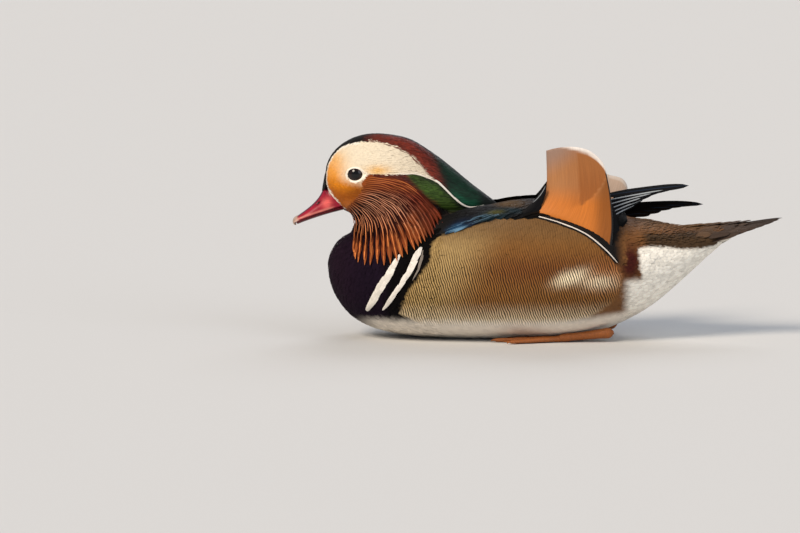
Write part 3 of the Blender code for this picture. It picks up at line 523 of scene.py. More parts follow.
# The white bars down each side of the breast and a grey one behind them, as (place, level, half width).
BARS = (
    (
        (-90.8, 60.0, 0.7), (-94.0, 54.8, 1.5), (-97.5, 48.3, 2.2), (-104.0, 38.0, 2.5), (-109.0, 29.0, 2.3),
        (-113.5, 21.0, 1.4)),
    (
        (-77.4, 65.0, 0.9), (-79.8, 59.7, 1.9), (-85.4, 48.3, 1.7), (-92.4, 37.5, 1.4), (-98.0, 29.0, 1.3),
        (-103.0, 22.0, 0.8)),
)
GREY_BAR = ((-76.0, 63.5, 0.25), (-77.0, 57.0, 0.6), (-79.5, 49.5, 0.55), (-83.5, 42.5, 0.2))
# The white line along the top of the flank, between its two black edges.
FLANK_LINE = (
    (-12.0, 84.6), (-5.8, 84.0), (3.8, 82.0), (12.0, 79.9), (18.0, 77.8), (24.4, 75.6), (31.5, 72.1),
    (37.7, 67.7), (45.5, 60.8), (52.0, 53.0),
)
# Each line along the flank's top edge: its shift up, half width, colour and height.
FLANK_EDGES = ((1.15, 0.9, BLACK, 0.35), (-0.75, 0.5, BLACK, 0.3), (0.0, 0.33, FLANK_WHITE, 0.6))
FACE_OUTLINE = (*BROW_TOP, *BROW_LOW, *CHEEK, (-155.0, 80.0), (-155.0, 145.0), (-115.7, 145.0))
FLANK_OUTLINE = (*FLANK_FRONT, *FLANK_TOP, *FLANK_REAR, *FLANK_FOOT)


def mixed(under, over, share):
    return under + (over - under) * np.clip(share, 0.0, 1.0)[..., None]


def layered(x, tone, *layers):
    """A tone at every place, with more colours laid over it in turn, each as (colour, share)."""
    tone = tone + 0 * x[..., None]
    for colour, share in layers:
        tone = mixed(tone, colour, share)
    return tone


def blob(x, z, place, level, long, high):
    """How strongly a soft oval spot shows, from 1 at its middle."""
    return np.exp(-((x - place) / long) ** 2 - ((z - level) / high) ** 2)


def ruff_top(x):
    """The level where the ruff ends under the crest, at places along the head."""
    return 104.0 - 0.455 * (x + 100.0)


def head_colour(x, y, z):
    """The face, the brow, the crown and the crest."""
    below = 103.5 - z - 0.22 * (x + 130)
    angle = np.degrees(np.arctan2(z - 104.0, -(x + 118.0)))
    stripe = np.abs(y) - np.interp(angle, *zip(*STRIPE))
    brow = (1 - ramp(line_distance(BROW_LOW, x, z), 0.5, 1.1)) * ramp(x, -106, -90)
    eye_depth = depth_in(EYE_RING, x + LEAD * np.abs(y), z + sunk(x))
    face = layered(
        x, CREAM,
        (CREAM_REAR, ramp(x, -100, -74)),
        (BROW_ORANGE, 0.9 * blob(x, z, -106, 112, 8, 3.2)),
        (BROW_ORANGE, 0.75 * blob(x, z, -135, 118, 7, 7)),
        (LORE_PALE, 1.3 * blob(x, z, -139, 107, 9.5, 11)),
        (LORE, ramp(below, -6, 2.5)),
        (LORE_DEEP, 0.9 * ramp(below, 1, 9)),
        (CHEEK_BROWN, 0.9 * blob(x, z, -118.5, 97, 8, 6)),
        (CHIN_ORANGE, 0.9 * ramp(-z, -94, -88) * ramp(x, -132, -126)),
        (EDGE_CREAM, (1 - ramp(stripe, 0.9, 1.7)) * (x < -118)),
        (EDGE_CREAM, brow),
        (EDGE_CREAM, 1 - ramp(line_distance(BILL_EDGE, x, z), 0.7, 1.3)),
        (EDGE_CREAM, 0.8 * ramp(eye_depth, -0.3, 0.1)))
    shine = (1 - ramp(z - level_of(WHITE_LINE, x), 1.5, 8.0)) * ramp(x, -62, -54) * (1 - ramp(x, -44, -37))
    crown = layered(
        x, MAROON,
        (BLACK, 1 - ramp(x, -119, -104)),
        (MAROON_DARK, 0.5 * ramp(z - level_of(BROW_TOP, x), 6, 12) * ramp(-x, 66, 72)),
        (GREEN_DARK, ramp(x + 0.35 * (z - 105), -68, -60)),
        (GREEN, ramp(x + 0.5 * (z - 100), -62, -52) * (1 - ramp(x, -42, -34))),
        (GREEN_SHINE, 0.75 * shine),
        (BLACK, 0.9 * (1 - ramp(np.abs(y), 1.2, 4.0)) * (z > 84)))
    near_line = 1 - ramp(level_of(WHITE_LINE, x) - z, 0, 6)
    patch = layered(
        x, GREEN_PATCH,
        (GREEN_DARK, ramp(x, -58, -46)),
        (GREEN_MOSS, 0.7 * blob(x, z, -71, 97, 9, 7)),
        (GREEN_DARK, 0.8 * near_line * ramp(x, -80, -70)),
        (HACKLE_RED, ramp(level_of(GREEN_LOW, x) - z, -1.5, 2.5)))
    low_side = (z < level_of(WHITE_LINE, x)) & (x > -88) & (x < -35)
    low_side |= (z < level_of(BROW_LOW, x)) & (x <= -66.5)
    inside = depth_in(FACE_OUTLINE, x, z)
    inside = np.where(x < -112, np.minimum(inside, stripe), inside)
    return np.where((inside > 0)[:, None], face, np.where(low_side[:, None], patch, crown))


def trunk_colour(x, z):
    """The breast, flanks, belly, back, rump and vent."""
    vent_top = 60.5 + 1.2 * np.sin((x - 60) / 9.0)
    rear = layered(
        x, RUMP,
        (RUMP_PALE, 0.6 * ramp(z, 70, 76) * ramp(x, 60, 74)),
        (SIDE_BAND, ramp(x + 0.4 * (z - 66), 68, 74) * ramp(z, 59, 61.5) * (1 - ramp(z, 69.5, 72.5))),
        (CHESTNUT, 1.3 * blob(x, z, 60.5, 53, 6.5, 11)),
        (VENT, ramp(x + 0.12 * (z - 55), 65.5, 68.0) * (1 - ramp(z, vent_top, vent_top + 2.0))),
        (VENT, ramp(x, 54, 62) * (1 - ramp(z, 38, 44))))
    body = layered(
        x, BREAST, (BREAST_BROWN, ramp(-x, 112, 138)), (BLACK, ramp(x, -106, -96)), (rear, ramp(x, 24, 40)))
    back = layered(x, BACK, (RUMP, ramp(x, 50, 58)))
    above = (z > level_of(FLANK_FRONT + FLANK_TOP, x) - 1.0) & (x > -88) & (x < 58)
    turned, over = (x - 20.5) + 0.35 * (z - 44.5), (z - 44.5) - 0.35 * (x - 20.5)
    pale = np.exp(-((turned / 12.0) ** 2 + (over / 4.6) ** 2) ** 1.2) + 0.75 * blob(x, z, 40, 41, 12, 4.5)
    flank = layered(
        x, FLANK_PALE,
        (FLANK, ramp(x + 0.5 * (60 - z), -58, -20)),
        (FLANK_HIGH, 0.8 * ramp(z, 62, 78)),
        (FLANK_WARM, 0.9 * np.exp(-((z - 50) / 10) ** 2) * ramp(x, -50, -10)),
        (FLANK_CINNAMON, 0.8 * np.exp(-((z - 44) / 9) ** 2) * ramp(x, 26, 40)),
        (FLANK_CREAM, 1.2 * pale),
        (FLANK_CREAM, 0.85 * (1 - ramp(z, 12, 30))))
    belly = 1 - ramp(z - 0.10 * np.maximum(x - 20, 0), 12.0, 18.0)
    return layered(
        x, np.where(above[:, None], back, body),
        (flank, ramp(depth_in(FLANK_OUTLINE, x, z), -0.6, 0.6)),
        (BELLY, belly * ramp(x, -124, -104)))


def plumage_at(points):
    """The plumage's colour at points, the same for the skin and the coat."""
    x, y, z = points.reshape(-1, 3).T
    of_head = ~within(TRUNK, TRUNK_POWERS, y, z, x, 1.4) & (x < -26) & (z > 66)
    x, z = side_view(x, y, z)
    by_cheek = 1 - ramp(line_distance(CHEEK, x, z), 0.5, 3.0)
    neck = layered(x, HACKLE_DARK, (HACKLE_TOP, ramp(z, 90, 101)), (HACKLE_FACE, 0.8 * by_cheek))
    is_neck = (z < ruff_top(x)) & (depth_in(FACE_OUTLINE, x, z) < 0) & (z < level_of(GREEN_LOW, x))
    head = np.where(is_neck[:, None], neck, head_colour(x, y, z))
    return np.where(of_head[:, None], head, trunk_colour(x, z)).reshape(points.shape)


def vermiculation_at(points):
    """How strongly the fine dark waves of the flank show at points, from 0 to 1."""
    x, y, z = points.reshape(-1, 3).T
    strength = ramp(depth_in(FLANK_OUTLINE, *side_view(x, y, z)), -0.5, 1.5)
    strength = strength * (0.2 + 0.8 * (1 - ramp(z, 46, 70)))
    strength *= ramp(z, 10, 20) * ~within(HEAD, HEAD_POWERS, y, z, x, 1.5)
    return strength.reshape(points.shape[:-1])


# Cross sections of a feather as (across, up) pairs, from its left edge over its shaft and back.
THIN = ((-1.0, 0.0), (0.0, 1.0), (1.0, 0.0))
FULL = ((-1.0, 0.0), (-0.55, 0.66), (0.0, 1.0), (0.55, 0.66), (1.0, 0.0), (0.5, 0.3), (0.0, 0.5), (-0.5, 0.3))
# How wide a feather is along its length, as (share of its length, share of its width).
ROUND = ((0.0, 0.5), (0.4, 1.0), (0.75, 0.95), (0.93, 0.58), (1.0, 0.0))
LONG = ((0.0, 0.6), (0.25, 1.0), (0.55, 0.95), (0.8, 0.7), (1.0, 0.0))
# The size of a feather's patch on the baked map.
PATCH = 0.003
# Nothing of the coat lies lower than this, and edges sharper than this angle stay sharp.
LOWEST, SHARP_ANGLE = 0.1, math.radians(50.0)


def feathers(path, outs, half, lift, ring, shares, roots_map):
    """Closed vanes through stations that end in a point, as arrays for a piece."""
    count, stations = path.shape[:2]
    ring = np.array(ring)
    rows, corners = stations - 1, len(ring)
    along = unit(np.gradient(path, axis=1))
    across = unit(np.cross(along, outs))
    over = np.cross(across, along)
    wide = across[:, :-1, None] * (half[..., None] * ring[:, 0])[..., None]
    high = over[:, :-1, None] * (lift[..., None] * ring[:, 1])[..., None]
    body = (path[:, :-1, None] + wide + high).reshape(count, rows * corners, 3)
    points = np.concatenate((body, path[:, -1:]), axis=1)
    u = np.append(np.tile(ring[:, 0] * 0.5 + 0.5, rows), 0.5)
    v = np.append(np.repeat(np.asarray(shares)[:-1], corners), 1.0)
    vane = np.broadcast_to(np.stack((u, v), axis=-1), (count, len(u), 2))
    bake = roots_map[:, None] + (vane - 0.5) * PATCH
    loops, totals = [], []
    for k in range(rows - 1):
        for r in range(corners):
            a, b = k * corners + r, k * corners + (r + 1) % corners
            loops += [a, b, b + corners, a + corners]
            totals.append(4)
    last = (rows - 1) * corners
    for r in range(corners):
        loops += [last + r, last + (r + 1) % corners, rows * corners]
        totals.append(3)
    loops += list(reversed(range(corners)))
    totals.append(corners)
    shift = (np.arange(count) * points.shape[1])[:, None]
    return {
        "points": points,
        "loops": (np.array(loops)[None] + shift).ravel(),
        "totals": np.tile(totals, count),
        "vane": vane,
        "bake": bake,
    }


def piece(name, parts, material, node_names):
    """One object from feather arrays, with its colours and maps, that stands for CAD nodes."""
    def joined(key, width):
        return np.concatenate([part[key].reshape(-1, width) for part in parts])

    for part in parts:
        part.setdefault("shaft", part["tint"])
        part.setdefault("wave", np.zeros(part["points"].shape[:-1]))
    points = joined("points", 3)
    points[:, 2] = np.maximum(points[:, 2], LOWEST)
    starts = np.cumsum([0] + [part["points"].size // 3 for part in parts])
    loops = np.concatenate([part["loops"] + start for part, start in zip(parts, starts)])
    totals = np.concatenate([part["totals"] for part in parts])
    mesh = bpy.data.meshes.new(name)
    mesh.vertices.add(len(points))
    mesh.vertices.foreach_set("co", (points * MM).ravel())
    mesh.loops.add(len(loops))
    mesh.loops.foreach_set("vertex_index", loops)
    mesh.polygons.add(len(totals))
    mesh.polygons.foreach_set("loop_start", np.concatenate(([0], np.cumsum(totals)[:-1])))
    mesh.update(calc_edges=True)
    for map_name, key in (("OFBake", "bake"), ("vane", "vane")):
        mesh.uv_layers.new(name=map_name).data.foreach_set("uv", joined(key, 2)[loops].ravel())
    for key in ("tint", "shaft"):
        painted(mesh, joined(key, 3), key)
    mesh.attributes.new("wave", "FLOAT", "POINT").data.foreach_set("value", joined("wave", 1).ravel())
    mesh.shade_smooth()
    mesh.set_sharp_from_angle(angle=SHARP_ANGLE)
    return placed(new_object(name, mesh, material), node_names)


def placed(thing, node_names):
    """The piece rides on the one body, in place of the CAD nodes that it stands for."""
    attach(thing, "root")
    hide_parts(*node_names)
    return thing


def unwrapped(rows, points):
    """A place on the skin's own unwrap: along the bird, and round its middle line."""
    x, y, z = points.T
    middle = rows_at(rows, x)[:, 2]
    turn = np.arctan2(z - middle, y) / (2 * np.pi) + 0.5
    share = (x - rows[0][0]) / (rows[-1][0] - rows[0][0])
    return np.stack((0.02 + 0.96 * share, 0.02 + 0.96 * turn), axis=-1)


def laid(roots, ways, flow, lengths, shares):
    """Paths that run over the ground from the roots along the flow, and the way out on them."""
    path, outs = [roots], [ways]
    for a, b in zip(shares, shares[1:]):
        here, out = path[-1], outs[-1]
        step = flow(here)
        step = unit(step - (step * out).sum(axis=1, keepdims=True) * out)
        here, out = ground.nearest(here + step * (lengths * (b - a))[:, None])
        path.append(here)
        outs.append(out)
    return np.stack(path, axis=1), np.stack(outs, axis=1)


def crest_lines(draw):
    """The white line below the crest, and maroon strands that hang over the top of the brow."""
    parts = []
    for side, _ in SIDES:
        parts.append(edging(WHITE_LINE, side, (15.0, 1.6), (0.62, 0.42), CREST_LINE, draw, 0.45, 0.22))
        parts.append(edging(BROW_TOP[:-2], side, (5.0, 1.1), (0.17, 0.17), MAROON * 0.9, draw, 0.2, 1.3))
    return parts


def face_lines(draw):
    """The brow's crisp lower edge, and the black wedge of feathers that runs down onto the bill."""
    parts = [
        edging(BROW_LOW[::-1][2:], side, (7.0, 1.5), (0.26, 0.34), BROW_LINE, draw, 0.3, 0.12)
        for side, _ in SIDES]
    count = 90
    across = np.linspace(-5.6, 5.6, count) + draw.uniform(-0.2, 0.2, count)
    shares = np.linspace(0.0, 1.0, 7)
    length = draw.uniform(7.0, 12.0, count)
    start = draw.uniform(0.0, 3.5, count) * (1 - (across / 6.5) ** 2)
    rise = 96.2 + 0.05 * across ** 2 + start
    z = rise[:, None] + length[:, None] * shares
    x = np.interp(z, (95.0, 98.0, 102.0, 107.0, 112.0), (-143.3, -143.0, -142.4, -141.8, -140.6))
    x = x + (0.055 * across ** 2)[:, None] + 0.6 * shares
    y = across[:, None] * (1.0 - 0.25 * shares)
    path = np.stack((x, y, z), axis=-1)
    out = unit(np.stack((-1 + 0 * y, 0.25 * y, 0.1 + 0 * y), axis=-1))
    half = np.full((count, 6), 0.55) * np.interp(shares[:-1], (0, 0.5, 0.83), (0.8, 1.0, 0.6))
    made = feathers(path, out, half, 0.5 * half, FULL, shares, unwrapped(HEAD, path[:, 0]))
    made["tint"] = np.broadcast_to(BLACK * 0.8, made["points"].shape)
    return [*parts, made]


def edging(line, side, run, halves, colour, draw, lift, spread, rows=HEAD):
    """Overlapping narrow feathers laid along a line in side view: run is (length, step).

    The line has a half width at each point, or halves says it at the line's two ends.
    """
    table = np.array(line, float)
    steps = steps_along(table)
    starts = np.arange(-0.3 * run[0], steps[-1] - 0.35 * run[0], run[1])
    shares = np.linspace(0.0, 1.0, 9)
    at = starts[:, None] + run[0] * shares * draw.uniform(0.9, 1.1, (len(starts), 1))
    keep = np.clip(at, 0.0, steps[-1])
    x, z = (np.interp(keep, steps, table[:, k]) for k in (0, 1))
    slope = unit(np.stack((np.gradient(x, axis=1), np.gradient(z, axis=1)), axis=-1))
    if table.shape[1] > 2:
        wide = np.interp(keep, steps, table[:, 2])
    else:
        wide = np.interp(keep, (0, steps[-1]), halves)
    shift = draw.uniform(-spread, spread, (len(starts), 1)) * wide / wide.max()
    flat = np.stack((x - slope[..., 1] * shift, z + slope[..., 0] * shift), axis=-1)
    hit, way = ground.seen(flat.reshape(-1, 2), side)
    path, out = hit.reshape(*flat.shape[:2], 3), unit(smoothed(way.reshape(*flat.shape[:2], 3), 3))
    path = smoothed(path, 2) + out * (lift * np.interp(shares, (0, 0.25, 1), (-2.0, 0.8, 1.0)))[:, None]
    keep_row = (np.diff(keep, axis=1) > 0.01).all(axis=1)
    path, out, wide = path[keep_row], out[keep_row], wide[keep_row]
    half = wide[:, :-1] * np.interp(shares[:-1], (0, 0.2, 0.7, 0.9), (0.6, 1.0, 0.95, 0.6))
    made = feathers(path, out, half, 0.14 * half + 0.08, FULL, shares, unwrapped(rows, path[:, 0]))
    shade = draw.uniform(0.85, 1.08, (len(path), 1, 1))
    made["tint"] = colour * shade * np.ones((1, made["points"].shape[1], 1))
    return made


def coat(roots, ways, flow, sizes, shape, rise, rows, draw, whole=0.0, tip_lift=0.0, vary=0.15):
    """Feathers laid on the ground: sizes are (length, half width, crown), rise is (root, tip).

    Each has one colour, read at the given share of its length, or a colour at each point if that is 0.
    """
    length, half, crown = sizes
    shares, widths = zip(*shape)
    shares = np.array(shares)
    lengths = length * draw.uniform(0.88, 1.12, len(roots))
    path, outs = laid(roots, ways, flow, lengths, shares)
    start = np.broadcast_to(rise[0], len(roots))[:, None] * draw.uniform(0.85, 1.15, (len(roots), 1))
    top = rise[1] + np.broadcast_to(tip_lift, len(roots))[:, None]
    height = start + (top - start) * shares ** 0.8 + draw.uniform(-0.06, 0.06, (len(roots), 1))
    path = path + outs * height[..., None]
    half = half * draw.uniform(0.9, 1.1, len(roots))
    halves = half[:, None] * np.array(widths[:-1])
    made = feathers(path, outs, halves, np.full_like(halves, crown), THIN, shares, unwrapped(rows, roots))
    if whole:
        middle = path[:, int(np.argmin(np.abs(shares - whole)))]
        tint = np.broadcast_to(plumage_at(middle)[:, None], made["points"].shape)
    else:
        slip = draw.normal(0.0, 0.3, (len(roots), 1, 3))
        tint = plumage_at(made["points"] + slip)
    made["tint"] = tint * draw.uniform(1 - vary, 1 + vary, (len(roots), 1, 1))
    made["wave"] = vermiculation_at(made["points"])
    return made


# Half the length and height of the oval round the eye where the face's feathers part.
EYE_STONE = (7.6, 5.8)


def head_flow(points):
    """Back along the head at one share of its width and height."""
    here, there = rows_at(HEAD, points[:, 0]), rows_at(HEAD, points[:, 0] + 1.0)
    across = points[:, 1] / np.maximum(here[:, 4], 1.0)
    above = points[:, 2] > here[:, 2]
    reach = np.where(above, here[:, 3] - here[:, 2], here[:, 2] - here[:, 1])
    share = (points[:, 2] - here[:, 2]) / np.maximum(reach, 1.0)
    next_reach = np.where(above, there[:, 3] - there[:, 2], there[:, 2] - there[:, 1])
    step_y = across * (there[:, 4] - here[:, 4])
    step_z = there[:, 2] - here[:, 2] + share * (next_reach - reach)
    # Round the eye the feathers part, as a stream does round a stone.
    across, up = (points[:, 0] - EYE_PLACE[0]) / EYE_STONE[0], (points[:, 2] - EYE_PLACE[2]) / EYE_STONE[1]
    square = np.maximum(across ** 2 + up ** 2, 1.0)
    near = 1 - ramp(square, 2.5, 7.0)
    turn_x = -near * (across ** 2 - up ** 2) / square ** 2
    turn_z = -near * 2 * across * up / square ** 2 * EYE_STONE[1] / EYE_STONE[0]
    return np.stack((1.0 + turn_x, step_y, step_z + turn_z), axis=-1)


def trunk_flow(points):
    """Down the breast, and back along the rest of the body."""
    x, y, z = points.T
    front = 1 - ramp(x, -112, -70)
    down = -(0.10 + 0.9 * front) + 0.25 * ramp(x, 60, 100) * (z < 62)
    return np.stack((0.35 + 0.65 * (1 - front), 0.15 * np.clip(y / 12.0, -1, 1) * front, down), axis=-1)


def neck_flow(points):
    return np.tile((0.45, 0.0, -1.0), (len(points), 1))


def bill_axis(along, up, across=0.0):
    """Places from distances along the bill, above its axis and to one side."""
    c, s = math.cos(BILL_SLOPE), math.sin(BILL_SLOPE)
    return np.stack(np.broadcast_arrays(
        BILL_BASE[0] - along * c - up * s, across, BILL_BASE[1] - along * s + up * c), axis=-1)


BILL_BASE = (-135.5, 91.0)
BILL_SLOPE = math.radians(32.0)
# How far the nostril lies along the bill, and above its axis.
NOSTRIL_PLACE = (9.6, 3.3)
# The edge of the feathers round the bill in side view, from the forehead down to the gape.
BILL_EDGE = ((-141.3, 99.5), (-139.5, 98.2), (-136.0, 93.5), (-132.5, 89.0), (-130.2, 85.5))


def mouth_line(s):
    return -6.2 + 0.30 * s - 0.0025 * s * s


def culmen_line(s):
    start = 9.6 + 0.3 * (s - 1.0)
    long = 2.9 + 9.0 * np.exp(-s / 8.0)
    tip = 3.25 - 0.16 * np.maximum(s - 26.0, 0.0) ** 1.7
    return np.where(s < 1.0, start, np.where(s < 26.0, long, tip))


def bill_half_width(s):
    blunt = np.maximum(0.0, (s - 24.0) / 7.5)
    return (8.2 - 0.095 * s) * np.sqrt(np.maximum(0.08, 1 - blunt ** 2.4))


def make_bill_half(name, node_name, spots, lower, upper, half, sides, bow_up):
    """Half the bill as a closed shell, bowed on its outer face and nearly flat on its inner one."""
    spots = np.concatenate(spots)
    angle = np.pi * np.arange(sides) / (sides - 1)
    low, high, wide = lower(spots)[:, None], upper(spots)[:, None], half(spots)[:, None]
    bow = np.sin(angle) ** 0.8
    outer = low + (high - low) * bow if bow_up else high - (high - low) * bow
    flat = low if bow_up else high
    inner = flat + (0.12 if bow_up else -0.12) * (high - low) * np.sin(angle[1:-1])
    width = wide * np.cos(angle)
    if bow_up:
        # The nostril is a slit that is sunk into each side, two fifths of the way up the bill's slope.
        away = spots[:, None] - NOSTRIL_PLACE[0]
        reach = (away / 1.7) ** 2 + ((outer - NOSTRIL_PLACE[1] + 0.12 * away) / 0.75) ** 2
        width = width * (1 - 0.16 * np.exp(-reach))
    outer = bill_axis(spots[:, None], outer, width)
    inner = bill_axis(spots[:, None], inner, wide * np.cos(angle[1:-1]))[:, ::-1]
    rings = np.concatenate((outer, inner), axis=1)
    made = solid(name, *capped(rings, rings.mean(axis=1)), PAINT["bill"])
    painted(made.data, bill_tone(points_of(made.data), bow_up))
    placed(made, [node_name])


def node(tree, kind, settings=None, links=None, **properties):
    """Adds a node with its properties, its sockets' values and its links from other sockets."""
    made = tree.nodes.new(kind)
    for key, value in properties.items():
        setattr(made, key, value)
    for key, value in (settings or {}).items():
        made.inputs[key].default_value = value
    for key, source in (links or {}).items():
        tree.links.new(source, made.inputs[key])
    return made


def finish(name, **sockets):
    """A new material and its shader, with the shader's plain values set."""
    made = bpy.data.materials.new(name)
    made.use_nodes = True
    shader = made.node_tree.nodes["Principled BSDF"]
    for key, value in sockets.items():
        shader.inputs[key.replace("_", " ")].default_value = value
    return made, made.node_tree, shader


def vane_material(name, roughness, shaft_width, barb_depth, sheen, gloss=0.0, specular=0.18):
    """Keratin vanes: a colour for each feather, its paler shaft, fine barbs and the flank's waves."""
    made, tree, shader = finish(
        name, Roughness=roughness, Sheen_Weight=sheen, Sheen_Roughness=0.5, Coat_Weight=gloss,
        Coat_Roughness=0.35, Specular_IOR_Level=specular)
    tint, shaft, wave = (
        node(tree, "ShaderNodeAttribute", attribute_name=key) for key in ("tint", "shaft", "wave"))
    vane = node(tree, "ShaderNodeUVMap", uv_map="vane")
    parts = node(tree, "ShaderNodeSeparateXYZ", None, {"Vector": vane.outputs["UV"]})
    middle = node(tree, "ShaderNodeMath", {1: 0.5}, {0: parts.outputs["X"]}, operation="SUBTRACT")
    apart = node(tree, "ShaderNodeMath", None, {0: middle.outputs[0]}, operation="ABSOLUTE")
    on_shaft = node(
        tree, "ShaderNodeMapRange", {"From Min": shaft_width, "From Max": shaft_width * 0.45},
        {"Value": apart.outputs[0]}, interpolation_type="SMOOTHSTEP")
    lined = node(
        tree, "ShaderNodeMix", None,
        {"Factor": on_shaft.outputs["Result"], 6: tint.outputs["Color"], 7: shaft.outputs["Color"]},
        data_type="RGBA")
    # The flank's dark waves are about 1.5 mm apart, and run across the lie of the feathers.
    place = node(tree, "ShaderNodeTexCoord")
    turned = node(
        tree, "ShaderNodeMapping", {"Rotation": (0.0, math.radians(16.0), 0.0)},
        {"Vector": place.outputs["Object"]})
    waves = node(
        tree, "ShaderNodeTexWave",
        {"Scale": 205.0, "Distortion": 4.2, "Detail": 1.5, "Detail Scale": 0.9, "Detail Roughness": 0.5},
        {"Vector": turned.outputs["Vector"]}, wave_type="BANDS", bands_direction="X")
    depth = node(
        tree, "ShaderNodeMapRange", {"From Min": 0.2, "From Max": 0.8, "To Min": 0.15, "To Max": 1.45},
        {"Value": waves.outputs["Fac"]})
    waved = node(
        tree, "ShaderNodeVectorMath", None,
        {0: lined.outputs[2], "Scale": depth.outputs["Result"]}, operation="SCALE")
    marked = node(
        tree, "ShaderNodeMix", None,
        {"Factor": wave.outputs["Fac"], 6: lined.outputs[2], 7: waved.outputs["Vector"]}, data_type="RGBA")
    # The barbs leave the shaft at a slant: real ones are 0.3 mm apart, drawn about twice as coarse.
    slant = node(
        tree, "ShaderNodeMath", {1: 1.4}, {0: apart.outputs[0], 2: parts.outputs["Y"]},
        operation="MULTIPLY_ADD")
    slanted = node(tree, "ShaderNodeMath", {1: 75.0}, {0: slant.outputs[0]}, operation="MULTIPLY")
    barbs = node(tree, "ShaderNodeMath", None, {0: slanted.outputs[0]}, operation="SINE")
    shade = node(
        tree, "ShaderNodeMapRange",
        {"From Min": -1.0, "From Max": 1.0, "To Min": 1 - barb_depth, "To Max": 1 + barb_depth * 0.5},
        {"Value": barbs.outputs[0]})
    barbed = node(
        tree, "ShaderNodeVectorMath", None,
        {0: marked.outputs[2], "Scale": shade.outputs["Result"]}, operation="SCALE")
    tree.links.new(barbed.outputs["Vector"], shader.inputs["Base Color"])
    bump = node(
        tree, "ShaderNodeBump", {"Strength": 0.25, "Distance": 0.0001}, {"Height": barbs.outputs[0]})
    tree.links.new(bump.outputs["Normal"], shader.inputs["Normal"])
    return made


def grained_material(name, grain, shades, relief, hexed=None, mapping=None, uv=None, **sockets):
    """A finish whose colour and relief follow one fine grain.

    The colour is the mesh's own tint, or the hex value if given. The grain lies in the object's space or
    on the named map. Shades are its darkest and palest, and relief is its strength and depth in mm.
    """
    made, tree, shader = finish(name, **sockets)
    if hexed:
        colour = node(tree, "ShaderNodeRGB").outputs[0]
        colour.default_value = (*linear(hexed), 1.0)
    else:
        colour = node(tree, "ShaderNodeAttribute", attribute_name="tint").outputs["Color"]
    if uv:
        place = node(tree, "ShaderNodeUVMap", uv_map=uv).outputs["UV"]
    else:
        place = node(tree, "ShaderNodeTexCoord").outputs["Object"]
    if mapping:
        place = node(tree, "ShaderNodeMapping", mapping, {"Vector": place}).outputs["Vector"]
    noise = node(tree, "ShaderNodeTexNoise", grain, {"Vector": place}).outputs["Fac"]
    shade = node(
        tree, "ShaderNodeMapRange",
        {"From Min": 0.3, "From Max": 0.7, "To Min": shades[0], "To Max": shades[1]}, {"Value": noise})
    shaded = node(
        tree, "ShaderNodeVectorMath", None, {0: colour, "Scale": shade.outputs["Result"]}, operation="SCALE")
    tree.links.new(shaded.outputs["Vector"], shader.inputs["Base Color"])
    bump = node(
        tree, "ShaderNodeBump", {"Strength": relief[0], "Distance": relief[1] * MM}, {"Height": noise})
    tree.links.new(bump.outputs["Normal"], shader.inputs["Normal"])
    return made


def eye_material():
    """A wet eye: black pupil in a dark brown iris under a clear cornea."""
    made, tree, shader = finish(
        "wet_dark_eye", Roughness=0.12, Coat_Weight=0.35, Coat_Roughness=0.03, Specular_IOR_Level=0.25)
    place = node(tree, "ShaderNodeTexCoord")
    centred = node(
        tree, "ShaderNodeVectorMath", {1: (-EYE_PLACE[0] * MM, 0.0, -EYE_PLACE[2] * MM)},
        {0: place.outputs["Object"]}, operation="ADD")
    flat = node(
        tree, "ShaderNodeVectorMath", {1: (1.0, 0.0, 1.0)}, {0: centred.outputs["Vector"]},
        operation="MULTIPLY")
    reach = node(tree, "ShaderNodeVectorMath", None, {0: flat.outputs["Vector"]}, operation="LENGTH")
    rings = node(
        tree, "ShaderNodeMapRange", {"From Min": 0.0, "From Max": 0.005}, {"Value": reach.outputs["Value"]})
    tones = node(tree, "ShaderNodeValToRGB", None, {"Fac": rings.outputs["Result"]})
    low, high = tones.color_ramp.elements
    low.position, high.position = 0.50, 0.62
    low.color, high.color = (*linear("#030203"), 1.0), (*linear("#241009"), 1.0)
    outer = tones.color_ramp.elements.new(0.95)
    outer.color = (*linear("#0c0504"), 1.0)
    tree.links.new(tones.outputs["Color"], shader.inputs["Base Color"])
    return made


